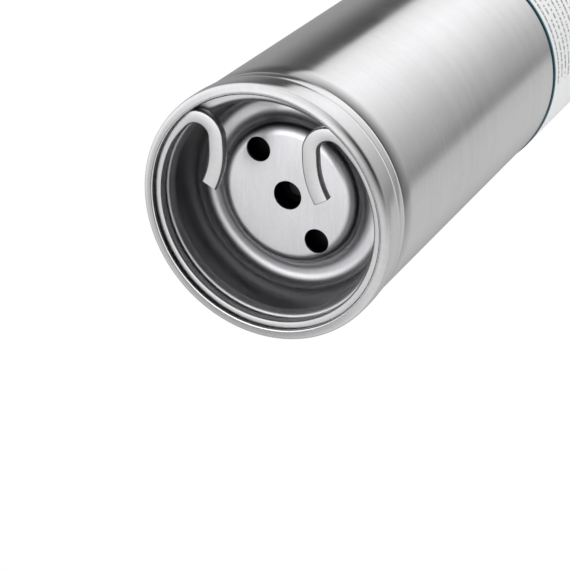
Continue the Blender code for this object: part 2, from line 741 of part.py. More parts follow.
def jog_dial():
    pts = [(0, 8.2), (9.0, 8.2), (10.4, 7.6), (11.0, 6.6), (11.0, 1.2), (10.6, 0.5)]
    pts += [(3.1, 0.5), (3.1, -3.4), (0, -3.4)]
    ob = lathe("jog_dial", pts, 28, closed=False)
    cut(ob, shift(rod("dimple", 1.6, 7.6, 9.0, 12, 0.1), (0, 7.4, 0)))
    ob.location = (DIAL_XY[0] * MM, DIAL_XY[1] * MM, 0)
    return finish(ob, DIAL_METAL, PANEL)


def push_buttons():
    for name, bx, by in BUTTONS:
        pts = [(0, 1.5), (3.2, 1.5), (3.9, 1.1), (4.1, 0.6), (4.1, -3.7), (4.9, -3.7)]
        pts += [(4.9, -4.5), (0, -4.5)]
        pts = pts if name != "button_start" else [(0, 1.1), (2.6, 1.2)] + pts[1:]
        ob = lathe(name, pts, 16, closed=False)
        ob.location = (bx * MM, by * MM, 0)
        finish(ob, BUTTON_GREY, PANEL)


# ---- rear clamp (z of the clamp frame runs backwards, away from the skirt) ---------
def clamp_bracket():
    top, low = 193.4, 148.0
    outline = [(31.2, low + 2), (33.0, low), (34.4, low), (34.4, 182.0), (37.4, 185.0)]
    outline += [(63.0, 185.0), (LEG_Y0, 182.0), (LEG_Y0, low), (LEG_Y1, low)]
    outline += [(LEG_Y1, top - 3.0), (LEG_Y1 - 3.0, top), (31.2, top)]
    ob = plate("clamp_bracket", outline, -BRACKET_HALF, BRACKET_HALF, 0.0)
    shift(ob, (0, 0, 0), (90, 0, 90))
    bevel = ob.modifiers.new("edge", "BEVEL")
    bevel.width = 0.8 * MM
    bevel.segments = 1
    bevel.limit_method = "ANGLE"
    bevel.angle_limit = math.radians(60)
    bake(ob)
    join(ob, along_y(rod("boss", 9.0, LEG_Y1 - 1.0, LEG_Y1 + 4.0, 20, 0.6), 0, SCREW_Z))
    cut(ob, along_y(rod("tool", 4.35, 60.0, 90.0, 18, 0.1), 0, SCREW_Z))
    for x in (-8, 8):
        cut(ob, shift(rod("tool", 2.1, 180.0, 200.0, 10, 0.1), (x, 52, 0)))
        cut(ob, shift(rod("tool", 3.65, 170.0, 188.7, 14, 0.1), (x, 52, 0)))
    return finish(ob, BRACKET_MAT)


def clamp_bolts():
    for n, x in enumerate((-8, 8), 1):
        ob = rod("bolt_shank", 1.7, 188.0, 197.8, 10, 0.3)
        join(ob, rod("bolt_head", 3.3, 185.3, 188.4, 14, 0.4))
        cut(ob, ring_hex("socket", 1.6, 184.0, 187.0))
        ob.name = "clamp_bolt_%d" % n
        ob.data.name = ob.name
        ob.location = (x * MM, 52 * MM, 0)
        finish(ob, SCREW_STEEL)


def ring_hex(name, radius, z0, z1):
    return plate(name, arc(0, 0, radius, 0, 300, 5), z0, z1)


def wall_pad():
    ob = block("wall_pad", (22.0, 1.8, 25.0), (0, WALL_PAD_Y - 0.9, 164.0), 0.4)
    return finish(ob, PAD_RUBBER)


def pressure_pad():
    ob = rod("pressure_pad", 11.5, PAD_FACE_Y + 2.3, PAD_FACE_Y + 7.0, 24, 0.8)
    return finish(ob, BRACKET_MAT, CLAMP)


def pad_rubber():
    ob = rod("pad_rubber", 10.8, PAD_FACE_Y, PAD_FACE_Y + 2.0, 24, 0.4)
    return finish(ob, PAD_RUBBER, CLAMP)


def clamp_screw():
    ob = rod("clamp_screw", 4.0, PAD_FACE_Y + 7.3, 93.0, 18, 0.5)
    return finish(ob, SHAFT_STEEL, CLAMP)


def clamp_knob():
    outline = []
    for i in range(30):
        a = 2 * math.pi * i / 30
        r = 14.0 + 1.4 * math.cos(6 * a)
        outline.append((r * math.cos(a), r * math.sin(a)))
    ob = plate("clamp_knob", outline, 86.0, 98.0, 0.8)
    join(ob, rod("knob_neck", 8.0, 83.8, 87.0, 16, 0.4))
    cut(ob, rod("bore", 4.25, 80.0, 93.3, 18, 0.1))
    return finish(ob, KNOB_MAT, CLAMP)


# ---- assembly ----------------------------------------------------------------------
def build_all():
    outer_tube()
    intake_cup()
    retaining_ring()
    label_wrap()
    cup_gasket()
    pump_housing()
    impeller()
    impeller_nut()
    motor_shaft()
    bearing_spider()
    shaft_bush()
    heating_coil()
    for name, radius, reach, angle in SENSORS:
        sensor_rod(name, radius, reach, angle)
    bulkhead_plate()
    bulkhead_gasket()
    shaft_seal()
    motor_bracket()
    motor_can()
    motor_end_cap()
    cooling_fan()
    main_board()
    power_relay()
    transformer()
    filter_capacitor()
    heat_sink()
    head_shell_front()
    head_shell_rear()
    head_collar()
    shell_screws()
    cable_gland()
    gland_nut()
    top_panel()
    light_ring()
    display_lens()
    display_module()
    control_board()
    dial_encoder()
    buzzer()
    jog_dial()
    push_buttons()
    clamp_bracket()
    clamp_bolts()
    wall_pad()
    pressure_pad()
    pad_rubber()
    clamp_screw()
    clamp_knob()


build_all()
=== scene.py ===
import json
import math

import bmesh
import bpy
from mathutils import Matrix, Vector


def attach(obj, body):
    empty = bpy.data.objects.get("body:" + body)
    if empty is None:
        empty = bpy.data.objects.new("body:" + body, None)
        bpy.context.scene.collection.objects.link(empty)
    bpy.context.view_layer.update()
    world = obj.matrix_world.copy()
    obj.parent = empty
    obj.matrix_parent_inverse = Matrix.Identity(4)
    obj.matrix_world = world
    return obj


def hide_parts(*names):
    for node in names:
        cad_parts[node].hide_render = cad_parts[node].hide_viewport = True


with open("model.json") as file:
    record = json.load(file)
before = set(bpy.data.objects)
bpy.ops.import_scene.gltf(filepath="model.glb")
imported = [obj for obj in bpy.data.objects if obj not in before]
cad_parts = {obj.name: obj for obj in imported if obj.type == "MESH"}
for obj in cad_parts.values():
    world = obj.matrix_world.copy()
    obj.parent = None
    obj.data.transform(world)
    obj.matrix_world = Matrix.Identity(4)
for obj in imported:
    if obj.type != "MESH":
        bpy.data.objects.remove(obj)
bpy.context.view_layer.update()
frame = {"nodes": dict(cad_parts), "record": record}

# Shapes are in millimetres and degrees, which MM and radians() turn into scene units.
MM = 0.001
AXIS_Y = -29.0         # the stick's axis
VIEW_AZ = -8.4         # side that the camera is on, from -Y
GAP_ANGLE = -146.1     # middle of the wire ring's open side
PANEL_SLOPE = 35

scene = bpy.context.scene
scene.view_settings.view_transform = "Standard"
scene.view_settings.look = "None"


# ---------------------------------------------------------------- node helpers
SHADER_SOCKETS = {"colour": "Base Color", "rough": "Roughness", "metal": "Metallic",
                  "normal": "Normal", "coat": "Coat Weight", "coat_rough": "Coat Roughness",
                  "emit": "Emission Strength", "emit_colour": "Emission Color"}


def colour4(c):
    return (c, c, c, 1.0) if isinstance(c, (int, float)) else (*c, 1.0)


def toned(colour, factor, lift=0.0):
    return tuple(c * factor + lift for c in colour)


class Nodes:
    """Small builder for a node tree."""

    def __init__(self, tree):
        self.tree = tree

    def add(self, kind, **values):
        node = self.tree.nodes.new(kind)
        for key, value in values.items():
            setattr(node, key, value)
        return node

    def link(self, value, socket):
        """Link an output to a socket, or set the socket to a number, vector or colour."""
        if isinstance(value, (int, float, tuple)):
            socket.default_value = colour4(value) if socket.type == "RGBA" else value
        else:
            self.tree.links.new(value, socket)

    def math(self, op, value, *others):
        """One operation on a value, repeated with each of the others."""
        for other in others or (None,):
            node = self.add("ShaderNodeMath", operation=op)
            self.link(value, node.inputs[0])
            if other is not None:
                self.link(other, node.inputs[1])
            value = node.outputs[0]
        return value

    def vector(self, op, a, b=None):
        node = self.add("ShaderNodeVectorMath", operation=op)
        self.link(a, node.inputs[0])
        if b is not None:
            self.link(b, node.inputs[1])
        return node.outputs["Value" if op in ("LENGTH", "DOT_PRODUCT") else "Vector"]

    def turned(self, vector, axis, degrees):
        node = self.add("ShaderNodeVectorRotate", rotation_type=axis + "_AXIS")
        node.inputs["Angle"].default_value = math.radians(degrees)
        self.link(vector, node.inputs["Vector"])
        return node.outputs[0]

    def facing(self, vector):
        """The vector turned so that X points to the side that the camera is on."""
        return self.turned(vector, "Z", 90 - VIEW_AZ)

    def split(self, vector):
        node = self.add("ShaderNodeSeparateXYZ")
        self.link(vector, node.inputs[0])
        return node.outputs

    def joined(self, x, y):
        node = self.add("ShaderNodeCombineXYZ")
        self.link(x, node.inputs[0])
        self.link(y, node.inputs[1])
        return node.outputs[0]

    def bearing(self, vector):
        """Angle of the vector from X round Z, in radians."""
        x, y, _ = self.split(vector)
        return self.math("ARCTAN2", y, x)

    def noise(self, vector, detail, rough):
        node = self.add("ShaderNodeTexNoise")
        for key, value in (("Scale", 1.0), ("Detail", detail), ("Roughness", rough)):
            node.inputs[key].default_value = value
        self.link(vector, node.inputs["Vector"])
        return node.outputs["Fac"]

    def ramp(self, fac, stops, mode="LINEAR"):
        node = self.add("ShaderNodeValToRGB")
        node.color_ramp.interpolation = mode
        els = node.color_ramp.elements
        for el, (at, value) in ((els[0], stops[0]), (els[1], stops[-1])):
            el.position, el.color = at, colour4(value)
        for at, value in stops[1:-1]:
            els.new(at).color = colour4(value)
        self.link(fac, node.inputs["Fac"])
        return node.outputs["Color"]

    def band(self, bearing, stops, mode="LINEAR", gain=1.0):
        """Values given at angles all round the axis, divided by the gain."""
        around = self.span(bearing, -math.pi, math.pi)
        return self.ramp(around, [((at + 180) / 360, value / gain) for at, value in stops], mode)

    def span(self, fac, low=0.3, high=0.7, a=0.0, b=1.0, kind="LINEAR"):
        """From a at the factor's low end to b at its high end."""
        node = self.add("ShaderNodeMapRange", interpolation_type=kind)
        for key, value in (("From Min", low), ("From Max", high), ("To Min", a), ("To Max", b)):
            node.inputs[key].default_value = value
        self.link(fac, node.inputs["Value"])
        return node.outputs["Result"]

    def swing(self, fac, reach, amount):
        """Up to the amount either way as the factor goes the reach either way of a half."""
        return self.span(fac, 0.5 - reach, 0.5 + reach, -amount, amount)

    def mix(self, fac, a, b, blend="MIX"):
        node = self.add("ShaderNodeMix", data_type="RGBA", blend_type=blend)
        for socket, value in ((node.inputs[0], fac), (node.inputs[6], a), (node.inputs[7], b)):
            self.link(value, socket)
        return node.outputs[2]


class Finish(Nodes):
    """Node tree of one material around its Principled shader."""

    def __init__(self, name):
        self.mat = bpy.data.materials.new(name)
        self.mat.use_nodes = True
        super().__init__(self.mat.node_tree)
        self.bsdf = self.tree.nodes["Principled BSDF"]
        self.coords = self.add("ShaderNodeTexCoord")

    def place(self, scale=(1.0, 1.0, 1.0), centre=(0.0, AXIS_Y * MM, 0.0)):
        """Object coordinates from a centre, each scaled."""
        return self.vector("MULTIPLY", self.vector("SUBTRACT", self.coords.outputs["Object"],
                                                   centre), scale)

    def radius(self):
        """Distance from the stick's axis, in metres."""
        return self.vector("LENGTH", self.place((1.0, 1.0, 0.0)))

    def around(self):
        """Angle round the stick's axis in radians, 0 on the side that the camera is on."""
        return self.bearing(self.facing(self.place((1.0, 1.0, 0.0))))

    def grain(self, scale, detail, rough):
        """Noise with one scale, or with one for each of x, y and z."""
        scales = scale if isinstance(scale, tuple) else (scale,) * 3
        return self.noise(self.place(scales), detail, rough)

    def bump(self, height, strength, distance):
        node = self.add("ShaderNodeBump")
        node.inputs["Strength"].default_value = strength
        node.inputs["Distance"].default_value = distance
        self.link(height, node.inputs["Height"])
        return node.outputs["Normal"]

    def set(self, **values):
        for key, value in values.items():
            self.link(value, self.bsdf.inputs[SHADER_SOCKETS[key]])
        return self.mat


# ---------------------------------------------------------------- materials
# Painted shade in the corner and crease above the rolled rim: a factor on the metal's colour over
# heights 9 to 14 mm.
RIM_SHADE = ((0.0, 1.0), (0.07, 0.80), (0.13, 0.25), (0.22, 0.16), (0.32, 0.36), (0.58, 0.60),
             (0.92, 0.95), (1.0, 1.0))
# Cup colour on the disc and trough, and the darker tone of painted shade on its walls and inner
# cone.
CUP_BRIGHT, CUP_WALL_SHADE = 0.72, 0.17
LABEL_LOW, LABEL_HIGH, LABEL_R = 109.65, 165.95, 30.29
LABEL_START, LABEL_SWEEP = 122, 296
ROW_START, ROW_PITCH, ROWS = 1.68, 2.8, 20
LINE_WIDTH = 0.64


def steel_turned(name, tone, rough):
    """Stainless with fine lines round the skirt's axis, and painted shade in the corner above its
    rim.
    """
    n = Finish(name)
    lines = n.grain((26.0, 26.0, 5200.0), 4.0, 0.62)
    broad = n.grain((9.0, 9.0, 260.0), 2.0, 0.5)
    cloud = n.grain((38.0, 38.0, 30.0), 3.0, 0.55)
    specks = n.grain((700.0, 700.0, 2600.0), 2.0, 0.6)
    value = n.math("ADD", n.swing(lines, 0.25, 0.034), n.swing(broad, 0.2, 0.012),
                   n.swing(cloud, 0.2, 0.020), n.swing(specks, 0.2, 0.016), tone)
    height = n.split(n.place())[2]
    # Painted shade: the colour is darkened in the corner above the rim, in full on the camera's
    # side and at 0.40 strength elsewhere round the tube.
    shade = n.ramp(n.span(height, 9.0 * MM, 14.0 * MM), RIM_SHADE)
    angle = n.around()
    front = n.math("SUBTRACT", n.span(angle, -0.85, -0.45), n.span(angle, 0.45, 0.95))
    shade = n.mix(n.span(front, 0.0, 1.0, 0.40, 1.0), (1.0, 1.0, 1.0), shade)
    colour = n.mix(1.0, n.math("MULTIPLY", value, shade), (1.0, 1.0, 1.015), "MULTIPLY")
    lip = n.span(height, 2.4 * MM, 0.9 * MM, rough, rough + 0.10)
    wear = n.math("ADD", n.swing(lines, 0.3, 0.045), n.swing(cloud, 0.2, 0.03), lip)
    return n.set(colour=colour, rough=wear, metal=1.0, normal=n.bump(lines, 0.28, 0.000004))


def steel_satin(name, tone, rough, scale):
    """Satin stainless with a fine grain."""
    n = Finish(name)
    grain = n.grain(scale, 4.0, 0.6)
    cloud = n.grain(70.0, 3.0, 0.5)
    value = n.math("ADD", n.swing(grain, 0.25, 0.035), n.swing(cloud, 0.2, 0.02), tone)
    return n.set(colour=n.mix(1.0, value, (1.0, 1.0, 1.012), "MULTIPLY"), metal=1.0,
                 rough=n.math("ADD", n.swing(grain, 0.3, 0.05), rough),
                 normal=n.bump(grain, 0.3, 0.000004))


def steel_drawn(name):
    """Deep-drawn cup: side walls and inner cone darkened with painted shade, a polished trough and
    a matt scratched disc.
    """
    n = Finish(name)
    radius, depth = n.radius(), n.split(n.place())[2]
    disc = n.span(radius, 15.8 * MM, 14.0 * MM)
    cone = n.math("MAXIMUM", n.span(radius, 18.5 * MM, 19.5 * MM),
                  n.span(depth, 12.9 * MM, 13.7 * MM))
    # Mask of the side walls and inner cone, where the colour is darkened with painted shade.
    wall = n.math("MULTIPLY", n.span(depth, 4.2 * MM, 5.6 * MM),
                  n.span(depth, 16.4 * MM, 15.0 * MM), cone)
    drawn = n.vector("MULTIPLY", n.turned(n.place(), "Z", 52), (1500.0, 190.0, 900.0))
    lines = n.noise(drawn, 4.0, 0.6)
    cloud = n.grain(110.0, 4.0, 0.55)
    specks = n.grain(1800.0, 3.0, 0.6)
    value = n.math("ADD", n.span(lines, 0.3, 0.7, 0.965, 1.035), n.swing(cloud, 0.2, 0.025),
                   n.swing(specks, 0.2, 0.03))
    value = n.math("MULTIPLY", value, n.span(wall, 0.0, 1.0, CUP_BRIGHT, CUP_WALL_SHADE))
    rough = n.math("ADD", n.swing(cloud, 0.2, 0.015), n.swing(specks, 0.2, 0.02),
                   n.span(wall, 0.0, 1.0, 0.41, 0.30), n.span(disc, 0.0, 1.0, 0.0, -0.09))
    return n.set(colour=n.mix(1.0, value, (0.99, 0.985, 1.02), "MULTIPLY"), rough=rough,
                 metal=1.0, normal=n.bump(n.math("MULTIPLY", lines, disc), 0.25, 0.000004))


def label_film(name):
    """Plain white film with a teal border and greeked rows of grey dashes, with a faint painted
    glow.
    """
    n = Finish(name)
    u, v, _ = n.split(n.coords.outputs["UV"])      # both in millimetres
    line = n.span(v, ROW_START, ROW_START + ROWS * ROW_PITCH, 0.0, float(ROWS))
    row, in_row = n.math("FLOOR", line), n.math("FRACT", line)
    words = n.noise(n.joined(n.math("MULTIPLY", u, 0.42), n.math("MULTIPLY", row, 7.31)), 1.0, 0.4)
    marks = n.noise(n.joined(n.math("MULTIPLY", u, 1.9), n.math("MULTIPLY", row, 3.7)), 1.0, 0.5)
    ink = n.math("MULTIPLY", n.span(words, 0.35, 0.39), n.span(marks, 0.41, 0.52, 0.10, 1.0),
                 n.span(in_row, 0.26, 0.34), n.span(in_row, 0.70, 0.62),
                 n.span(v, 2.0, 2.1), n.span(v, 50.7, 50.6),
                 n.span(u, 6.0, 6.2), n.span(u, 99.0, 98.8))
    speck = n.grain(900.0, 2.0, 0.5)
    paper = n.mix(n.span(speck), (0.87, 0.88, 0.885), (0.92, 0.925, 0.93))
    base = n.mix(n.math("MULTIPLY", ink, 0.74), paper, (0.13, 0.12, 0.12))
    base = n.mix(n.span(v, 1.3, 0.7), base, (0.66, 0.77, 0.82))
    base = n.mix(n.span(v, LINE_WIDTH + 0.06, LINE_WIDTH), base, (0.012, 0.090, 0.115))
    # The film glows faintly in its own colour: painted light that brightens it.
    return n.set(colour=base, rough=n.span(speck, 0.3, 0.7, 0.34, 0.44), coat=0.15,
                 coat_rough=0.25, emit=0.09, emit_colour=base,
                 normal=n.bump(speck, 0.15, 0.00001))


def moulded(name, colour, rough, grain=1500.0, depth=0.00004, coat=0.0, dust=0.06):
    """Injection-moulded plastic: fine spark texture, faint handling marks and dust."""
    n = Finish(name)
    spark = n.grain(grain, 4.0, 0.6)
    marks = n.grain((42.0, 42.0, 30.0), 4.0, 0.6)
    smear = n.grain((160.0, 160.0, 45.0), 3.0, 0.65)
    base = n.mix(n.span(marks, 0.35, 0.7), colour, toned(colour, 1.22, 0.004))
    base = n.mix(n.span(smear, 0.58, 0.8, 0.0, dust), base, (0.42, 0.41, 0.40))
    base = n.mix(n.span(spark, 0.35, 0.65, 0.0, 0.18), base, toned(colour, 0.7))
    gloss = n.math("ADD", n.swing(marks, 0.2, 0.05),
                   n.span(spark, 0.3, 0.7, rough - 0.05, rough + 0.06))
    return n.set(colour=base, rough=gloss, normal=n.bump(spark, 0.35, depth),
                 coat=coat, coat_rough=0.1)


def soft_rubber(name, colour):
    n = Finish(name)
    pores = n.grain(2200.0, 4.0, 0.65)
    bloom = n.grain(80.0, 4.0, 0.6)
    base = n.mix(n.span(bloom, 0.35, 0.75, 0.0, 0.35), colour, (0.10, 0.10, 0.10))
    return n.set(colour=base, rough=n.span(pores, 0.3, 0.7, 0.62, 0.82),
                 normal=n.bump(pores, 0.5, 0.00005))


def turned_metal(name, colour, rough, centre):
    """Turned metal whose lines run round the panel's normal through the centre."""
    n = Finish(name)
    x, y, z = n.split(n.turned(n.place(centre=toned(centre, MM)), "X", -PANEL_SLOPE))
    radius = n.math("SQRT", n.math("ADD", n.math("MULTIPLY", x, x), n.math("MULTIPLY", y, y)))
    rings = n.noise(n.joined(n.math("MULTIPLY", radius, 4200.0), n.math("MULTIPLY", z, 2100.0)),
                    3.0, 0.6)
    cloud = n.grain(150.0, 3.0, 0.5)
    tone = n.mix(n.span(rings), toned(colour, 0.86), colour)
    tone = n.mix(n.span(cloud, 0.4, 0.7, 0.0, 0.25), tone, toned(colour, 0.75))
    return n.set(colour=tone, rough=n.span(rings, 0.25, 0.75, rough - 0.06, rough + 0.08),
                 metal=1.0, normal=n.bump(rings, 0.35, 0.00001))


def glow(name, colour, strength):
    """Frosted plastic lit from behind."""
    n = Finish(name)
    haze = n.grain(900.0, 3.0, 0.5)
    tone = n.mix(n.span(haze), toned(colour, 0.85), colour)
    return n.set(colour=tone, rough=n.span(haze, 0.3, 0.7, 0.35, 0.5),
                 emit_colour=colour, emit=strength, normal=n.bump(haze, 0.2, 0.00002))


def plain_finish(name, colour, rough, metal):
    """Finish of a frame solid that is shown as it is."""
    n = Finish(name)
    grain = n.grain(600.0, 4.0, 0.6)
    cloud = n.grain(60.0, 3.0, 0.5)
    light = tuple(min(1.0, c) for c in toned(colour, 1.12))
    tone = n.mix(n.span(cloud), toned(colour, 0.88), light)
    tone = n.mix(n.span(grain, 0.35, 0.65, 0.0, 0.35), tone, light)
    return n.set(colour=tone, rough=n.span(grain, 0.3, 0.7, rough - 0.05, rough + 0.05),
                 metal=metal, normal=n.bump(grain, 0.25, 0.00002))


STEEL_TUBE = steel_turned("skirt_brushed_steel", 0.665, 0.15)
STEEL_CUP = steel_drawn("cup_drawn_steel")
STEEL_WIRE = steel_satin("wire_satin_steel", 0.66, 0.36, 1500.0)
LABEL = label_film("wrap_label_film")
SHELL = moulded("head_shell_plastic", (0.020, 0.021, 0.023), 0.44)
COLLAR = moulded("collar_grey_plastic", (0.105, 0.108, 0.115), 0.46)
BRACKET = moulded("bracket_black_plastic", (0.026, 0.026, 0.028), 0.50, 1100.0, 0.00006)
KNOB = moulded("knob_black_plastic", (0.030, 0.030, 0.032), 0.52, 1000.0, 0.00008)
PANEL_MAT = moulded("panel_gloss_black", (0.008, 0.008, 0.009), 0.12, 600.0, 0.000004, 0.6, 0.03)
LENS_MAT = moulded("lens_smoked", (0.004, 0.005, 0.006), 0.06, 500.0, 0.000002, 1.0, 0.015)
KEY_MAT = moulded("key_grey_plastic", (0.16, 0.165, 0.17), 0.38, 1400.0, 0.00003)
PRINT = moulded("key_print_white", (0.70, 0.71, 0.72), 0.5, 1600.0, 0.00001, 0.0, 0.0)
RUBBER = soft_rubber("gland_rubber", (0.022, 0.022, 0.024))
PAD = soft_rubber("pad_grip_rubber", (0.045, 0.045, 0.048))
BOLT = steel_satin("bolt_plated_steel", 0.52, 0.30, 1500.0)
THREAD = steel_satin("spindle_plated_steel", 0.55, 0.26, (1200.0, 240.0, 1200.0))
DIAL_MAT = turned_metal("dial_turned_aluminium", (0.72, 0.73, 0.75), 0.26,
                        (0, AXIS_Y - 13.93, 342.25))
RING_MAT = glow("light_ring_frosted", (0.62, 0.74, 0.82), 0.12)
DIGITS = glow("display_segments", (0.75, 0.92, 1.0), 1.1)


# ---------------------------------------------------------------- mesh helpers
def shift(x, y, z=0.0):
    return Matrix.Translation((x * MM, y * MM, z * MM))


def turn(angle, axis="Z"):
    return Matrix.Rotation(math.radians(angle), 4, axis)


STAND = shift(0, AXIS_Y)                                           # on the stick's axis
PANEL = STAND @ shift(0, 0, 352) @ turn(PANEL_SLOPE, "X")          # on the sloping panel
# Local X, Y and Z along Y, Z and X.
SIDEWAYS = Matrix(((0, 0, 1, 0), (1, 0, 0, 0), (0, 1, 0, 0), (0, 0, 0, 1)))


def along_y(x, z):
    """Frame whose local Z runs backwards (+Y) from the stick's axis at height z."""
    return STAND @ shift(x, 0, z) @ turn(-90, "X")


CLAMP = along_y(0, 164.0)


def arc(cx, cy, radius, a0, a1, count):
    out = []
    for i in range(count + 1):
        a = math.radians(a0 + (a1 - a0) * i / count)
        out.append((cx + radius * math.cos(a), cy + radius * math.sin(a)))
    return out


def rounded(points, per=5):
    """Outline from (x, y, radius) corners: those with a radius become arcs."""
    out = []
    for i, (x, y, rad) in enumerate(points):
        if rad <= 0 or i in (0, len(points) - 1):
            out.append((x, y))
            continue
        a, b, c = Vector(points[i - 1][:2]), Vector((x, y)), Vector(points[i + 1][:2])
        u, v = (a - b).normalized(), (c - b).normalized()
        half = math.acos(max(-1.0, min(1.0, u.dot(v)))) / 2
        reach = min(rad / math.tan(half), (a - b).length * 0.49, (c - b).length * 0.49)
        r = reach * math.tan(half)
        centre = b + (u + v).normalized() * (r / math.sin(half))
        p0, p1 = b + u * reach - centre, b + v * reach - centre
        a0, a1 = math.atan2(p0.y, p0.x), math.atan2(p1.y, p1.x)
        sweep = (a1 - a0 + math.pi) % (2 * math.pi) - math.pi
        for k in range(per + 1):
            t = a0 + sweep * k / per
            out.append((centre.x + r * math.cos(t), centre.y + r * math.sin(t)))
    return out


def round_rect(w, h, r, x=0.0, y=0.0, per=6):
    out = []
    u, v = w / 2 - r, h / 2 - r
    for cx, cy, a in ((u, v, 0), (-u, v, 90), (-u, -v, 180), (u, -v, 270)):
        out += arc(x + cx, y + cy, r, a, a + 90, per)
    return out


def bridge(bm, rows, steps, closed=False):
    """Faces between neighbouring rows of points, where a row of one point is a tip."""
    pairs = list(zip(rows, rows[1:]))
    if closed:
        pairs.append((rows[-1], rows[0]))
    for low, high in pairs:
        count = max(len(low), len(high))
        if count == 1:
            continue
        for k in range(steps):
            j = (k + 1) % count
            if len(low) == 1:
                bm.faces.new((low[0], high[j], high[k]))
            elif len(high) == 1:
                bm.faces.new((low[k], low[j], high[0]))
            else:
                bm.faces.new((low[k], low[j], high[j], high[k]))


def finished(bm):
    bmesh.ops.recalc_face_normals(bm, faces=bm.faces)
    return bm


def spin(points, steps=160, closed=False, start=0.0, sweep=360.0):
    """Mesh from an (r, z) line turned about the local Z axis."""
    bm = bmesh.new()
    count = steps if sweep >= 360.0 else steps + 1
    rows = []
    for r, z in points:
        if r < 1e-6:
            rows.append([bm.verts.new((0, 0, z * MM))])
            continue
        row = []
        for k in range(count):
            a = math.radians(start + sweep * k / steps)
            row.append(bm.verts.new((r * MM * math.cos(a), r * MM * math.sin(a), z * MM)))
        rows.append(row)
    bridge(bm, rows, steps, closed)
    return finished(bm)


def wavy_row(bm, z, steps, radius):
    """Ring of points at height z, where radius(part of the turn) is its radius."""
    row = []
    for k in range(steps):
        a, r = 2 * math.pi * k / steps, radius(k / steps) * MM
        row.append(bm.verts.new((r * math.cos(a), r * math.sin(a), z * MM)))
    return row


def slab(outline, z0, z1, edge=0.0, segs=3):
    """Prism of a 2-D outline with rounded top and bottom edges."""
    bm = bmesh.new()
    low, high = ([bm.verts.new((x * MM, y * MM, z * MM)) for x, y in outline] for z in (z0, z1))
    caps = [bm.faces.new(low[::-1]), bm.faces.new(high)]
    bridge(bm, [low, high], len(outline))
    finished(bm)
    if edge:
        bevel(bm, {e for face in caps for e in face.edges}, edge, segs)
    return bm


def bevel(bm, edges, width, segs):
    bmesh.ops.bevel(bm, geom=list(edges), offset=width * MM, segments=segs, profile=0.5,
                    affect="EDGES", clamp_overlap=True)


def box(size, centre, edge=0.0, segs=3):
    bm = bmesh.new()
    bmesh.ops.create_cube(bm, size=1.0)
    bm.transform(shift(*centre) @ Matrix.Diagonal([s * MM for s in size] + [1.0]))
    if edge:
        bevel(bm, bm.edges, edge, segs)
    return bm


def rod(radius, z0, z1, steps=48, edge=0.3):
    e = min(edge, radius * 0.45)
    return spin(rounded([(0, z0, 0), (radius, z0, e), (radius, z1, e), (0, z1, 0)], 3), steps)


def placed(bm, matrix):
    bm.transform(matrix)
    return bm


def gather(parts):
    """One bmesh from several."""
    bm = bmesh.new()
    for part in parts:
        mesh = bpy.data.meshes.new("part")
        part.to_mesh(mesh)
        part.free()
        bm.from_mesh(mesh)
        bpy.data.meshes.remove(mesh)
    return bm


def smooth(mesh, sharp):
    for poly in mesh.polygons:
        poly.use_smooth = True
    mesh.set_sharp_from_angle(angle=math.radians(sharp))


def new_object(name, data):
    ob = bpy.data.objects.new(name, data)
    scene.collection.objects.link(ob)
    return ob


def make(name, bm, mat, body="frame", nodes=(), place=STAND, sharp=32.0):
    """Turn a bmesh into a piece that rides on a body and stands for CAD nodes."""
    mesh = bpy.data.meshes.new(name)
    bm.transform(place)
    bm.to_mesh(mesh)
    bm.free()
    mesh.materials.append(mat)
    smooth(mesh, sharp)
    ob = new_object(name, mesh)
    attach(ob, body)
    if nodes:
        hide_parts(*nodes)
    return ob


def carve(ob, cutters):
    """Boolean the cutters (bmesh list, same space as the object) out of a piece."""
    mat = ob.data.materials[0]
    for bm in cutters:
        mesh = bpy.data.meshes.new("cutter")
        bm.to_mesh(mesh)
        bm.free()
        tool = new_object("cutter", mesh)
        mod = ob.modifiers.new("cut", "BOOLEAN")
        mod.operation = "DIFFERENCE"
        mod.solver = "EXACT"
        mod.object = tool
        bpy.context.view_layer.update()
        graph = bpy.context.evaluated_depsgraph_get()
        new = bpy.data.meshes.new_from_object(ob.evaluated_get(graph))
        ob.modifiers.clear()
        old = ob.data
        ob.data = new
        bpy.data.meshes.remove(old)
        bpy.data.objects.remove(tool, do_unlink=True)
    ob.data.materials.clear()
    ob.data.materials.append(mat)
    for poly in ob.data.polygons:
        poly.material_index = 0
    smooth(ob.data, 32)
    return ob


def soften(ob, width, segs=2, angle=42):
    """Small rounded edges on a carved piece."""
    mod = ob.modifiers.new("edge", "BEVEL")
    mod.width = width * MM
    mod.segments = segs
    mod.limit_method = "ANGLE"
    mod.angle_limit = math.radians(angle)
    mod.use_clamp_overlap = True
    mod.harden_normals = False
    return ob


# ---------------------------------------------------------------- skirt tube and cup
TUBE_R, TUBE_TOP = 30.0, 207.6
SLOT_ANGLES, SLOT_Z, SLOT_WIDTH, SLOT_HEIGHT = (34, 46, 58, 122, 134, 146), 52.0, 3.4, 16.0
HOLE_X, HOLE_R, MIDDLE_HOLE_R = 12.34, 2.92, 3.38


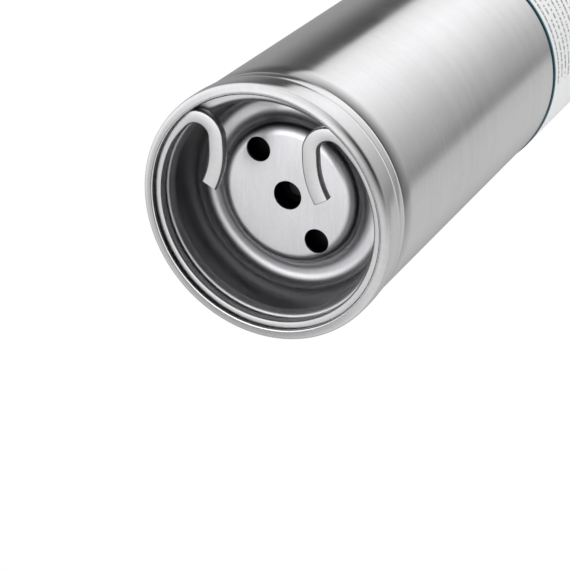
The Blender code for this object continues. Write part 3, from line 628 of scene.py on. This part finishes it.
def build_tube():
    """Plain tube, a dipped corner with a crease, an upright band and the rolled lip."""
    line = [(TUBE_R, TUBE_TOP), (TUBE_R, 60.0), (TUBE_R, 15.0), (29.98, 14.1), (29.93, 13.2),
            (29.84, 12.3), (29.71, 11.4), (29.58, 10.7), (29.50, 10.25), (29.46, 10.14),
            (29.22, 10.08), (29.2, 9.93), (29.5, 9.86), (29.76, 9.76), (29.96, 9.45),
            (30.1, 8.95), (30.17, 8.4), (30.2, 7.8), (30.2, 7.2), (30.18, 6.75), (30.12, 6.5),
            (30.2, 6.3), (30.3, 5.9), (30.36, 5.3), (30.385, 4.6), (30.395, 3.6), (30.395, 2.6),
            (30.39, 1.9), (30.37, 1.4), (30.34, 1.05), (30.29, 0.78), (30.24, 0.6), (30.1, 0.41),
            (29.9, 0.28), (29.6, 0.15), (29.3, 0.06), (29.05, 0.02), (28.8, 0.0), (28.55, 0.01),
            (28.45, 0.03), (28.4, 0.2), (28.3, 0.2), (28.22, 0.05), (28.1, 0.06), (27.93, 0.12),
            (27.84, 0.19), (27.8, 0.3), (27.8, 0.6), (27.92, 0.72), (28.7, 0.8), (28.92, 0.92),
            (28.95, 1.1), (28.95, 11.6), (29.25, 14.2), (29.25, TUBE_TOP)]
    ob = make("skirt_tube", spin(line, 192, closed=True), STEEL_TUBE, nodes=["outer_tube"],
              sharp=40)
    carve(ob, [slot_cutter(a) for a in SLOT_ANGLES])


def slot_cutter(angle):
    """Radial bar with round ends, for a vertical slot through the tube wall."""
    half, r = (SLOT_HEIGHT - SLOT_WIDTH) / 2, SLOT_WIDTH / 2
    outline = arc(0, SLOT_Z + half, r, 0, 180, 10) + arc(0, SLOT_Z - half, r, 180, 360, 10)
    return placed(slab(outline, 25.0, 34.0), STAND @ turn(angle) @ SIDEWAYS)


def build_cup():
    """Flange, side wall, round trough and the raised flat disc with its three holes."""
    front = rounded([(28.5, 3.5, 0), (25.1, 3.5, 1.3), (23.75, 16.75, 3.2), (18.01, 16.75, 3.2),
                     (16.46, 12.5, 3.2), (6.0, 12.5, 0), (0, 12.5, 0)], 10)
    back = [(28.5, 4.02), (26.2, 4.05), (25.4, 5.2), (24.4, 14.6), (23.0, 16.9), (20.8, 17.3)]
    back += [(18.6, 17.0), (17.2, 15.6), (16.2, 13.6), (15.4, 13.08), (0, 13.08)]
    ob = make("intake_cup_detail", spin(front[::-1] + back, 160, start=7.3), STEEL_CUP,
              nodes=["intake_cup"])
    holes = ((0, MIDDLE_HOLE_R), (-HOLE_X, HOLE_R), (HOLE_X, HOLE_R))
    carve(ob, [hole_cutter(x, r) for x, r in holes])


def hole_cutter(x, radius):
    """Bar that widens at the disc's face, for a hole with a broken edge."""
    line = [(0, 14.0), (radius, 14.0), (radius, 12.60), (radius + 0.11, 12.48),
            (radius + 0.45, 12.1), (0, 12.1)]
    return placed(spin(line, 48, start=3.1), STAND @ shift(x, 0))


# ---------------------------------------------------------------- wire ring
WIRE_R, WIRE_W, WIRE_H, WIRE_Z, WIRE_EDGE = 27.25, 2.85, 2.0, 2.15, 0.42
BEND, LEG, LEG_SWEEP = 4.6, 19.0, 29.5
HOOP_TRIM, HOOK_FLARE = 0.35, 0.95      # the wire is narrower on the hoop, wider on the legs
LEG_STEPS, BEND_STEPS, TRIM_STEPS = 14, 26, 8
TIP_SHRINK, TIP_INSET = 0.86, 0.12      # the broken edge at each cut end


def wire_path():
    """Middle line: a leg, its bend, round the hoop, and the same mirrored."""
    cx = (WIRE_R - BEND) * math.sqrt(0.5)
    leg = arc(cx - BEND + LEG, cx - 2.0, LEG, 180 + LEG_SWEEP, 180, LEG_STEPS)
    bend = arc(cx, cx, BEND, 180, 45, BEND_STEPS)
    hoop = arc(0, 0, WIRE_R, 45, -90, 70)
    half = leg + bend + hoop[1:]
    return half + [(-x, y) for x, y in half[-2::-1]]


def build_ring():
    path = wire_path()
    last = len(path) - 1
    stations = [(0, TIP_SHRINK, 0.0), (0, 1.0, TIP_INSET)]
    stations += [(i, 1.0, 0.0) for i in range(1, last)]
    stations += [(last, 1.0, TIP_INSET), (last, TIP_SHRINK, 0.0)]
    bm = bmesh.new()
    rows = []
    for i, shrink, inset in stations:
        into = min(i, last - i) - LEG_STEPS - BEND_STEPS
        thin = HOOP_TRIM * min(1.0, max(0.0, into / TRIM_STEPS))
        flare = HOOK_FLARE * min(1.0, max(0.0, -into / BEND_STEPS))
        here = Vector(path[i])
        way = (Vector(path[min(i + 1, last)]) - Vector(path[max(i - 1, 0)])).normalized()
        across = Vector((-way.y, way.x))
        side = 1 if i == 0 else -1
        base = here + way * inset * side + here.normalized() * thin / 2
        w, h = (WIRE_W + flare) * shrink - thin, WIRE_H * shrink
        row = []
        for u, v in round_rect(w, h, WIRE_EDGE, per=4):
            p = base + across * u
            row.append(bm.verts.new((p.x * MM, p.y * MM, (WIRE_Z + v) * MM)))
        rows.append(row)
    bridge(bm, rows, len(rows[0]))
    bm.faces.new(rows[0])
    bm.faces.new(rows[-1][::-1])
    bm = placed(finished(bm), turn(GAP_ANGLE - 90))
    make("wire_ring", bm, STEEL_WIRE, nodes=["retaining_ring"])


# ---------------------------------------------------------------- label
def angle_of(co):
    return math.degrees(math.atan2(co.y, co.x))


def build_label():
    """Film wrapped round the tube, open along a strip at the back."""
    pts = rounded([(30.12, LABEL_LOW, 0), (LABEL_R, LABEL_LOW, 0.05),
                   (LABEL_R, LABEL_HIGH, 0.05), (30.12, LABEL_HIGH, 0)], 3)
    bm = spin(pts, 150, closed=True, start=LABEL_START, sweep=LABEL_SWEEP)
    ends = [[v for v in bm.verts if abs(angle_of(v.co) % 360 - a) < 0.01]
            for a in (LABEL_START, (LABEL_START + LABEL_SWEEP) % 360)]
    for end in ends:
        if len(end) > 2:
            mid = sum((v.co for v in end), Vector()) / len(end)
            out = Vector((mid.x, mid.y, 0)).normalized()
            end.sort(key=lambda v: math.atan2(v.co.z - mid.z, (v.co - mid).dot(out)))
            bm.faces.new(end)
    finished(bm)
    layer = bm.loops.layers.uv.new("UVMap")
    for face in bm.faces:
        for loop in face.loops:
            co = loop.vert.co
            a = (angle_of(co) - (LABEL_START - 0.1)) % 360
            loop[layer].uv = (math.radians(a) * LABEL_R, co.z / MM - LABEL_LOW)
    make("wrap_label", bm, LABEL, nodes=["label_wrap"])


# ---------------------------------------------------------------- head
HEAD_R, WALL, PANEL_T, HEAD_GAP, RING_T = 40.0, 2.4, 3.4, 0.3, 1.6
HEAD_LOW, HEAD_TOP, ABOVE_HEAD = 200.0, 379.58, 430.0
POSTS = [(x, z) for x in (-25.0, 25.0) for z in (230.0, 303.0)]
GLAND_Z = 331.0
VENTS, VENT_Z, VENT_PITCH = 5, 243.0, 6.0
COLLAR_LOW, COLLAR_HIGH = 193.75, 199.65


def head_wall(inset, low, top=395.0):
    """Outline of the head with its round lower edge."""
    r = HEAD_R - inset
    return [(0, top), (r, top), (r, low + 13.0), (r - 0.35, low + 9.4), (r - 1.15, low + 6.2),
            (r - 2.4, low + 3.4), (r - 4.2, low + 1.3), (r - 6.2, low + 0.3), (r - 8.0, low),
            (0, low)]


def build_shells():
    """Front and rear half with the rear's vents and gland hole, and the screw posts."""
    low = -(PANEL_T + 2 * HEAD_GAP + RING_T)
    for side, name in ((1, "front"), (-1, "rear")):
        ob = make("head_shell_%s_detail" % name, spin(head_wall(0.0, HEAD_LOW), 144), SHELL,
                  nodes=["head_shell_" + name])
        tools = [placed(box((160, 160, 120), (0, 0, 60 + low)), PANEL),
                 placed(spin(head_wall(WALL, HEAD_LOW + WALL, 420.0), 96), STAND),
                 placed(spin([(0, 190), (30.3, 190), (30.3, 206), (0, 206)], 96), STAND),
                 placed(box((130, 130, 260), (0, side * (65 - HEAD_GAP / 2), 290)), STAND)]
        if name == "rear":
            for k in range(VENTS):
                vent = slab(round_rect(30.0, 2.4, 1.1, 0, 0, 5), 28.0, 60.0)
                tools.append(placed(vent, along_y(0, VENT_Z + VENT_PITCH * k)))
            tools.append(placed(rod(5.7, 20.0, 60.0, 40, 0.05), along_y(0, GLAND_Z)))
        soften(carve(ob, tools), 0.35)
    post = [(1.8, -22.6), (4.0, -22.6), (4.0, 22.0), (4.0, 27.6), (3.3, 27.6), (3.3, 25.1),
            (1.8, 25.1)]
    for x, z in POSTS:
        make("screw_post_%d_%d" % (x, z), spin(post, 24, closed=True), SHELL,
             place=along_y(x, z))


def build_shell_screws():
    pts = rounded([(0, 27.35, 0), (1.9, 27.6, 0.5), (2.8, 26.7, 0.4), (2.8, 25.35, 0.1),
                   (1.4, 25.3, 0), (1.35, 18.0, 0), (0, 18.0, 0)], 3)
    for n, (x, z) in enumerate(POSTS, 1):
        ob = make("case_screw_%d" % n, spin(pts, 36), BOLT, place=along_y(x, z),
                  nodes=["shell_screw_%d" % n])
        cross = ((0.8, 3.0, 2.2), (3.0, 0.8, 2.2))
        carve(ob, [placed(box(size, (0, 0, 27.6)), along_y(x, z) @ turn(23 * n))
                   for size in cross])


def build_collar():
    pts = rounded([(30.5, COLLAR_LOW, 0), (36.0, COLLAR_LOW, 0.9), (36.0, COLLAR_HIGH, 0.5),
                   (30.5, COLLAR_HIGH, 0)], 4)
    make("neck_collar", spin(pts, 144, closed=True), COLLAR, nodes=["head_collar"])
    tongue = slab(round_rect(28.0, 30.0, 1.2, 0, 46.0), COLLAR_LOW, COLLAR_HIGH, 0.6)
    make("neck_tongue", tongue, COLLAR)


def build_gland():
    """Ribbed rubber sleeve with a flange against the rear shell."""
    pts = [(3.2, 44.0), (3.2, 55.8), (3.5, 56.0), (4.3, 56.0), (4.7, 55.8)]
    for k in range(5):
        y, r = 54.6 - 2.3 * k, 4.85 + 0.24 * k
        pts += [(r, y + 0.4), (r + 0.12, y), (r + 0.05, y - 0.7), (r - 0.55, y - 0.95),
                (r - 0.55, y - 1.4)]
    pts += [(6.3, 43.2), (7.8, 42.8), (8.4, 42.4), (8.6, 41.8), (8.6, 40.5), (5.3, 40.5),
            (5.3, 33.0), (0, 33.0), (0, 44.0)]
    make("cord_gland", spin(pts, 56), RUBBER, place=along_y(0, GLAND_Z), nodes=["cable_gland"])


# ---------------------------------------------------------------- panel
DIAL_X, DIAL_Y = 0.0, -17.0
KEYS = {"start": (-22.0, -13.0), "timer": (22.0, -13.0), "minus": (-16.0, -31.0),
        "plus": (16.0, -31.0)}
DISPLAY_Y = 17.5
PRINT_LOW, PRINT_HIGH = -0.19, -0.10       # the lit figures, under the lens's face
SEGMENTS = {"6": "afgedc", "0": "abcdef"}


def slope_slice(radius, low, high):
    """Slice of the upright head cylinder between two planes parallel to the panel."""
    bm = placed(spin([(0, 250.0), (radius, 250.0), (radius, HEAD_TOP), (0, HEAD_TOP)], 144),
                STAND)
    normal = (PANEL.to_3x3() @ Vector((0, 0, 1))).normalized()
    for level, clear_up in ((low, False), (high, True)):
        geom = list(bm.verts) + list(bm.edges) + list(bm.faces)
        cut = bmesh.ops.bisect_plane(bm, geom=geom, plane_co=PANEL @ Vector((0, 0, level * MM)),
                                     plane_no=normal, clear_outer=clear_up,
                                     clear_inner=not clear_up)
        edges = [g for g in cut["geom_cut"] if isinstance(g, bmesh.types.BMEdge)]
        bmesh.ops.contextual_create(bm, geom=edges)
    return finished(bm)


def build_panel():
    """Panel plate, the light ring below it and the display's lens."""
    world = Matrix.Identity(4)
    ob = make("control_panel", slope_slice(HEAD_R, -PANEL_T, 0.0), PANEL_MAT, place=world,
              nodes=["top_panel"])
    tools = [placed(slab(round_rect(45.6, 24.6, 3.0, 0, DISPLAY_Y), -8, 8), PANEL),
             placed(rod(3.5, -8, 8, 40, 0.05), PANEL @ shift(DIAL_X, DIAL_Y))]
    tools += [placed(rod(4.45, -8, 8, 48, 0.05), PANEL @ shift(x, y)) for x, y in KEYS.values()]
    soften(carve(ob, tools), 0.55, 3, 50)
    low = -(PANEL_T + HEAD_GAP + RING_T)
    ring = make("status_light_ring", slope_slice(HEAD_R - 0.05, low, low + RING_T), RING_MAT,
                place=world, nodes=["light_ring"])
    bore = spin([(0, 240), (HEAD_R - WALL, 240), (HEAD_R - WALL, ABOVE_HEAD), (0, ABOVE_HEAD)],
                96)
    soften(carve(ring, [placed(bore, STAND)]), 0.25, 2, 50)
    lens = slab(round_rect(45.0, 24.0, 2.7, 0, DISPLAY_Y), -2.6, -0.2, 0.25, 3)
    make("display_window", lens, LENS_MAT, place=PANEL, nodes=["display_lens"])


def figure(digit, x, y, w=2.7, h=5.0, t=1.1):
    """Thin bars of one seven-segment figure."""
    gap, tip, slant = t * 0.28, t / 2, 0.10
    spots = {"a": (0, h, 1), "g": (0, 0, 1), "d": (0, -h, 1), "f": (-w, h / 2, 0),
             "b": (w, h / 2, 0), "e": (-w, -h / 2, 0), "c": (w, -h / 2, 0)}
    bars = []
    for key in SEGMENTS[digit]:
        sx, sy, flat = spots[key]
        half = (w if flat else h / 2) - gap
        line = [(-half, 0), (-half + tip, tip), (half - tip, tip), (half, 0),
                (half - tip, -tip), (-half + tip, -tip)]
        if not flat:
            line = [(py, px) for px, py in line][::-1]
        pts = [(x + sx + px + slant * (sy + py), y + sy + py) for px, py in line]
        bars.append(slab(pts, PRINT_LOW, PRINT_HIGH))
    return bars


def build_display():
    """The figures 60.0 and a degree sign."""
    parts = []
    for digit, x in zip("600", (-11.0, -2.0, 8.6)):
        parts += figure(digit, x, DISPLAY_Y)
    parts.append(slab(arc(3.6, 12.4, 0.65, 0, 345, 14), PRINT_LOW, PRINT_HIGH))
    degree = [(0.75, PRINT_LOW), (1.15, PRINT_LOW), (1.15, PRINT_HIGH), (0.75, PRINT_HIGH)]
    parts.append(placed(spin(degree, 24, closed=True), shift(15.6, 22.0)))
    make("display_figures", gather(parts), DIGITS, place=PANEL, sharp=20)


def build_dial():
    """Knurled dial on its stem, with a finger dish in its face."""
    steps, flutes = 288, 48
    top = rounded([(0, 8.0, 0), (6.0, 8.05, 0), (9.7, 8.15, 0.35), (10.6, 7.5, 0.5),
                   (10.75, 6.9, 0.2)], 4)
    side = [(11.0, 6.7, 0.28), (11.0, 6.5, 0.30), (11.0, 1.6, 0.30), (11.0, 1.3, 0.28)]
    base = [(10.7, 1.05), (10.5, 0.6), (9.9, 0.45), (3.1, 0.45), (3.1, -3.4), (0, -3.4)]
    bm = bmesh.new()
    rows = []
    for r, z, cut in [(*p, 0.0) for p in top] + side + [(*p, 0.0) for p in base]:
        if r < 1e-6:
            rows.append([bm.verts.new((0, 0, z * MM))])
            continue
        rows.append(wavy_row(bm, z, steps, lambda t: r - cut * (
            0.5 + 0.5 * math.cos(2 * math.pi * flutes * t)) ** 1.6))
    bridge(bm, rows, steps)
    place = PANEL @ shift(DIAL_X, DIAL_Y)
    ob = make("turning_dial", finished(bm), DIAL_MAT, "dial", ["jog_dial"],
              place, sharp=28)
    bowl = spin(arc(0, 9.6, 2.6, -90, -20, 10) + [(0, 10.5)], 32)
    carve(ob, [placed(bowl, place @ shift(0, 7.4))])


def key_sign(kind):
    """Plain raised sign: an arrow, a clock, a minus or a plus."""
    bar = round_rect(3.6, 0.62, 0.25, 0, 0, 3)
    outlines = {"start": [[(-1.1, -1.6), (1.75, 0), (-1.1, 1.6)]],
                "timer": [round_rect(0.45, 1.5, 0.15, 0, 0.6, 2),
                          round_rect(1.2, 0.45, 0.15, 0.5, 0, 2)],
                "minus": [bar],
                "plus": [bar, round_rect(0.62, 1.3, 0.25, 0, 1.15, 3),
                         round_rect(0.62, 1.3, 0.25, 0, -1.15, 3)]}
    parts = [slab(line, 1.2, 1.34) for line in outlines[kind]]
    if kind == "timer":
        rim = [(1.75, 1.2), (2.2, 1.2), (2.2, 1.36), (1.75, 1.36)]
        parts.append(spin(rim, 40, closed=True))
    return gather(parts)


def build_keys():
    pts = rounded([(0, 1.22, 0), (2.4, 1.28, 0), (3.5, 1.45, 0.3), (4.1, 1.0, 0.35),
                   (4.1, -3.7, 0.1), (4.85, -3.7, 0.1), (4.85, -4.5, 0.1), (0, -4.5, 0)], 4)
    for kind, (x, y) in KEYS.items():
        place = PANEL @ shift(x, y)
        make("key_" + kind, spin(pts, 64), KEY_MAT, kind + "_key", ["button_" + kind],
             place)
        make("key_sign_" + kind, key_sign(kind), PRINT, kind + "_key", (),
             place, 20)


# ---------------------------------------------------------------- clamp
CLAMP_TOP, CLAMP_FOOT = 193.4, 148.0
BOLT_X, BOLT_Y = 8, 52


def build_clamp():
    """Hook-shaped bracket with its nut boss and the two bolts up into the collar's tongue."""
    line = rounded([(31.2, 170.0, 0), (31.2, CLAMP_FOOT, 1.2), (34.4, CLAMP_FOOT, 1.2),
                    (34.4, 185.0, 3.0), (66.0, 185.0, 3.0), (66.0, CLAMP_FOOT, 1.5),
                    (74.0, CLAMP_FOOT, 2.0), (74.0, CLAMP_TOP, 4.0), (31.2, CLAMP_TOP, 0.9),
                    (31.2, 170.0, 0)], 6)
    place = STAND @ SIDEWAYS
    ob = make("clamp_body", slab(line[:-1], -14.0, 14.0, 0.9, 3), BRACKET, place=place,
              nodes=["clamp_bracket"])
    tools = [placed(rod(4.35, 60.0, 90.0, 48, 0.05), CLAMP)]
    spots = [STAND @ shift(x, BOLT_Y) for x in (-BOLT_X, BOLT_X)]
    for spot in spots:
        tools.append(placed(rod(2.1, 180, 200, 24, 0.05), spot))
        tools.append(placed(rod(3.65, 170, 188.7, 32, 0.05), spot))
    for low, high in ((-14.1, -12.3), (12.3, 14.3)):
        tools.append(placed(slab(round_rect(3.4, 30.0, 1.6, 70.0, 168.0), low, high), place))
    carve(ob, tools)
    boss = rounded([(4.4, 73.0, 0), (9.0, 73.0, 0), (9.0, 78.0, 0.8), (4.4, 78.0, 0.4),
                    (4.4, 73.0, 0)], 4)
    make("clamp_boss", spin(boss[:-1], 72, closed=True), BRACKET, place=CLAMP)
    head = rounded([(0, 185.6, 0), (1.7, 185.6, 0.1), (1.9, 185.35, 0.1), (3.3, 185.35, 0.5),
                    (3.3, 188.4, 0.2), (1.7, 188.4, 0.1), (1.7, 197.7, 0.3), (0, 197.7, 0)], 3)
    for n, spot in enumerate(spots, 1):
        bolt = make("clamp_fixing_%d" % n, spin(head, 40), BOLT, place=spot,
                    nodes=["clamp_bolt_%d" % n])
        carve(bolt, [placed(slab(arc(0, 0, 1.6, 0, 300, 5), 184.0, 187.0), spot)])


def build_pads():
    """Ribbed pad fixed to the bracket, and the pressure pad with its ringed rubber."""
    grip = box((22.0, 1.4, 25.0), (0, 35.4, 164.0), 0.35, 2)
    make("fixed_grip_base", grip, PAD, nodes=["wall_pad"])
    ribs = [box((20.4, 0.9, 1.9), (0, 36.05, 154.4 + 3.2 * k), 0.3, 2) for k in range(7)]
    make("fixed_grip_ribs", gather(ribs), PAD)
    disc = rounded([(0, 44.35, 0), (10.9, 44.35, 0.3), (11.5, 45.0, 0.4), (11.5, 47.2, 1.6),
                    (6.8, 49.0, 0.8), (0, 49.0, 0)], 5)
    make("pad_plate", spin(disc, 96), BRACKET, "clamp_pad", ["pressure_pad"],
         CLAMP)
    face = [(0, 42.15), (1.6, 42.15)]
    for k in range(4):
        r = 2.2 + 2.05 * k
        face += [(r, 42.6), (r + 0.45, 42.6), (r + 0.75, 42.1), (r + 1.35, 42.1)]
    face += [(10.3, 42.05), (10.75, 42.5), (10.8, 43.6), (10.5, 44.0), (0, 44.0)]
    make("pad_grip", spin(face, 96), PAD, "clamp_pad", ["pad_rubber"], CLAMP)


def build_spindle():
    """Right-hand thread that fades out at both ends."""
    pitch, major, minor = 2.0, 3.98, 3.3
    z0, z1, steps, fade_length = 49.35, 92.9, 48, 1.2

    def thread(z):
        fade = min(1.0, (z - z0) / fade_length, (z1 - z) / fade_length)

        def radius(t):
            ramp = 1.0 - abs(2.0 * ((z / pitch - t) % 1.0) - 1.0)
            crest = min(1.0, max(0.0, (ramp - 0.12) / 0.72))
            return minor + (major - minor) * crest * fade
        return radius

    bm = bmesh.new()
    count = int((z1 - z0) / pitch * 10)
    heights = [z0 + (z1 - z0) * i / count for i in range(count + 1)]
    rows = [wavy_row(bm, z, steps, thread(z)) for z in heights]
    bridge(bm, rows, steps)
    bm.faces.new(rows[0][::-1])
    bm.faces.new(rows[-1])
    make("clamp_spindle_thread", finished(bm), THREAD, "clamp_spindle", ["clamp_screw"],
         CLAMP, sharp=50)


def build_knob():
    """Six-lobed knob with a dished face, a cap over the spindle's end and a neck."""
    line = []
    for i in range(180):
        a = 2 * math.pi * i / 180
        r = 14.0 + 1.35 * math.cos(6 * a) + 0.25 * math.cos(12 * a + math.pi)
        line.append((r * math.cos(a), r * math.sin(a)))
    ob = make("clamp_hand_knob", slab(line, 86.0, 97.8, 1.7, 5), KNOB, "clamp_spindle",
              ["clamp_knob"], CLAMP, sharp=40)
    dish = rounded([(0, 96.6, 0), (8.4, 96.6, 0.8), (9.2, 99.0, 0), (0, 99.0, 0)], 5)
    carve(ob, [placed(rod(4.25, 80.0, 93.3, 48, 0.05), CLAMP), placed(spin(dish, 72), CLAMP)])
    cap = rounded([(0, 97.5, 0), (5.6, 97.3, 0.5), (5.9, 96.4, 0), (0, 96.4, 0)], 4)
    make("knob_cap", spin(cap, 64), KNOB, "clamp_spindle", (), CLAMP)
    neck = rounded([(4.3, 83.85, 0.3), (8.0, 83.85, 0.5), (7.6, 86.4, 0), (4.3, 86.4, 0),
                    (4.3, 83.85, 0.3)], 4)
    make("knob_neck", spin(neck[:-1], 64, closed=True), KNOB, "clamp_spindle", (),
         CLAMP)


# ---------------------------------------------------------------- frame solids shown as they are
# Pieces behind the cup's holes are made near-black, painted shade so the holes read as dark.
SHADE_BLACK_WORKS = {"impeller", "impeller_nut", "pump_housing", "bearing_spider", "motor_shaft"}
METALS = ("brushed_steel", "aluminium", "brass")
ROUGH_OF = {"rubber": 0.7, "gloss_plastic": 0.2}


def dress_frame():
    slots = {m["slot"]: m for m in frame["record"]["materials"]}
    # Near-black finish for the pieces seen through the cup's holes: painted shade.
    slots["shade_black_works"] = {"base_color": (0.012, 0.012, 0.013), "class": "matte_plastic"}
    made = {}
    for part in frame["record"]["subparts"]:
        node = part["node"]
        name = "shade_black_works" if node in SHADE_BLACK_WORKS else part["material_slot"]
        if name not in made:
            kind = slots[name]["class"]
            made[name] = plain_finish("frame_" + name, tuple(slots[name]["base_color"][:3]),
                                      ROUGH_OF.get(kind, 0.4), float(kind in METALS))
        materials = frame["nodes"][node].data.materials
        materials.clear()
        materials.append(made[name])


# ---------------------------------------------------------------- floor, light, camera
# Brightness of what the metal mirrors, at angles round the axis from the camera's side:
# high up, low down, the floor beside the stick and the floor right under its rim.
HIGH_BAND = ((-180, 0.40), (-150, 0.37), (-125, 0.37), (-110, 0.26), (-96, 0.13), (-82, 0.08),
             (-77, 0.10), (-74, 0.95), (-62, 1.20), (-40, 1.36), (-26, 1.28), (-9, 1.08),
             (9, 0.84), (26, 0.64), (43, 0.50), (58, 0.34), (63, 0.42), (69, 0.66), (90, 0.69),
             (120, 0.65), (143, 0.52), (160, 0.40), (180, 0.40))
LOW_BAND = ((-180, 0.45), (-150, 0.72), (-120, 0.90), (-90, 1.05), (-60, 1.10), (-35, 0.85),
            (-15, 0.42), (0, 0.22), (20, 0.18), (40, 0.35), (60, 0.62), (85, 0.76),
            (110, 0.64), (140, 0.48), (180, 0.45))
FLOOR_BAND = ((-180, 0.75), (-150, 0.85), (-120, 1.15), (-90, 1.35), (-60, 1.30), (-40, 1.15),
              (-25, 1.10), (-14, 0.95), (-4, 0.10), (4, 0.10), (16, 0.03), (26, 0.22),
              (36, 0.62), (48, 0.82), (80, 0.95), (105, 0.85), (135, 0.60), (160, 0.65),
              (180, 0.75))
FOOT_BAND = ((-180, 0.62), (-150, 0.74), (-120, 0.62), (-95, 0.85), (-75, 1.08), (-60, 1.32),
             (-12, 1.36), (2, 0.98), (15, 0.55), (28, 0.78), (45, 0.88), (75, 0.88),
             (90, 0.68), (120, 0.57), (150, 0.53), (180, 0.62))
FLOOR_GAIN = 1.5       # strength of the floor's glow, so that its ramp stays under 1
OPEN_END_R = 28.4      # the floor is missing inside this radius, except to the camera


def studio_world():
    """Soft studio seen only in reflections: one pattern high up and one low down, a bright
    patch overhead and three soft patches below the open end."""
    world = bpy.data.worlds.new("studio")
    scene.world = world
    world.use_nodes = True
    world.node_tree.nodes.clear()
    w = Nodes(world.node_tree)
    facing = w.facing(w.add("ShaderNodeTexCoord").outputs["Generated"])
    bearing, rise = w.bearing(facing), w.split(facing)[2]

    def step(fac, low, high):
        return w.span(fac, low, high, kind="SMOOTHSTEP")

    def patch(azimuth, elevation, inner, outer):
        """1 inside a round patch of sky, fading to 0 at its outer angle."""
        a, e = math.radians(azimuth), math.radians(elevation)
        middle = (math.cos(a) * math.cos(e), math.sin(a) * math.cos(e), math.sin(e))
        return step(w.vector("DOT_PRODUCT", facing, middle), math.cos(math.radians(outer)),
                    math.cos(math.radians(inner)))

    high = w.band(bearing, HIGH_BAND)
    low = w.band(bearing, LOW_BAND, "B_SPLINE")
    sky = w.mix(step(rise, 0.40, 0.74), low, high)
    sky = w.mix(step(rise, 0.93, 0.99), sky, 1.3)
    under = w.mix(patch(-150, -76, 8, 42), 0.010, 1.5)
    under = w.mix(patch(180, -51, 9, 28), under, 0.80)
    under = w.mix(patch(-134, -68, 4, 22), under, 2.4)
    sky = w.mix(step(rise, -0.30, 0.02), under, sky)
    seen = w.add("ShaderNodeLightPath").outputs["Is Camera Ray"]
    back = w.add("ShaderNodeBackground")
    w.link(w.mix(seen, sky, 1.0), back.inputs["Color"])
    w.link(back.outputs[0], w.add("ShaderNodeOutputWorld").inputs["Surface"])


def floor_paper():
    """Pale paper that is clear from below and fades out far away. Reflections see it glow
    in its own pattern, and see nothing of it under the open end."""
    n = Finish("floor_paper")
    tone = n.mix(n.span(n.grain(40.0, 3.0, 0.5)), (0.86, 0.86, 0.865),
                 (0.88, 0.88, 0.885))
    n.set(colour=tone, rough=0.9)
    path, radius = n.add("ShaderNodeLightPath").outputs, n.radius()
    camera = path["Is Camera Ray"]
    inside = n.math("MULTIPLY", n.math("LESS_THAN", radius, OPEN_END_R * MM),
                    n.math("SUBTRACT", 1.0, camera))
    far = n.math("MULTIPLY", n.span(radius, 0.35, 1.5), camera)
    below = n.add("ShaderNodeNewGeometry").outputs["Backfacing"]
    around = n.around()
    wide = n.band(around, FLOOR_BAND, "B_SPLINE", FLOOR_GAIN)
    foot = n.band(around, FOOT_BAND, "B_SPLINE", FLOOR_GAIN)
    shine = n.add("ShaderNodeEmission")
    n.link(n.mix(n.span(radius, 29.0 * MM, 30.3 * MM), foot, wide), shine.inputs["Color"])
    shine.inputs["Strength"].default_value = FLOOR_GAIN
    clear = n.add("ShaderNodeBsdfTransparent")

    def either(fac, a, b):
        node = n.add("ShaderNodeMixShader")
        for socket, value in zip(node.inputs, (fac, a, b)):
            n.link(value, socket)
        return node.outputs[0]

    lit = either(path["Is Glossy Ray"], n.bsdf.outputs[0], shine.outputs[0])
    surface = either(n.math("MAXIMUM", below, inside, far), lit, clear.outputs[0])
    n.link(surface, n.tree.nodes["Material Output"].inputs["Surface"])
    return n.mat


def build_floor():
    bm = bmesh.new()
    bmesh.ops.create_grid(bm, x_segments=8, y_segments=8, size=4.0)
    mesh = bpy.data.meshes.new("floor")
    bm.to_mesh(mesh)
    bm.free()
    mesh.materials.append(floor_paper())
    ob = new_object("floor", mesh)
    ob.location = (0, 0, -0.2 * MM)


def build_top_light():
    """Wide overhead light that the metal does not mirror."""
    data = bpy.data.lights.new("overhead", "AREA")
    data.shape, data.size = "DISK", 2.4
    data.energy = 26.0
    ob = new_object("overhead", data)
    ob.location = (-0.3, -0.4, 2.0)
    ob.rotation_euler = (math.radians(-11), math.radians(-9), 0)
    ob.visible_glossy = False


def build_camera():
    """Close below the open end, looking steeply up along the stick."""
    data = bpy.data.cameras.new("camera")
    cam = new_object("camera", data)
    data.sensor_width = 36.0
    data.lens = 112.5
    data.clip_start, data.clip_end = 0.01, 20.0
    side, drop = 229.3, 318.0
    heading, rise, roll = 12.06, 53.31, 47.93
    cam.location = (STAND @ turn(VIEW_AZ) @ shift(0, -side, -drop)).translation
    cam.rotation_mode = "QUATERNION"
    aim = turn(-heading) @ turn(90 + rise, "X") @ turn(roll)
    cam.rotation_quaternion = aim.to_quaternion()
    scene.camera = cam


build_tube()
build_cup()
build_ring()
build_label()
build_shells()
build_shell_screws()
build_collar()
build_gland()
build_panel()
build_display()
build_dial()
build_keys()
build_clamp()
build_pads()
build_spindle()
build_knob()
dress_frame()
studio_world()
build_floor()
build_top_light()
build_camera()
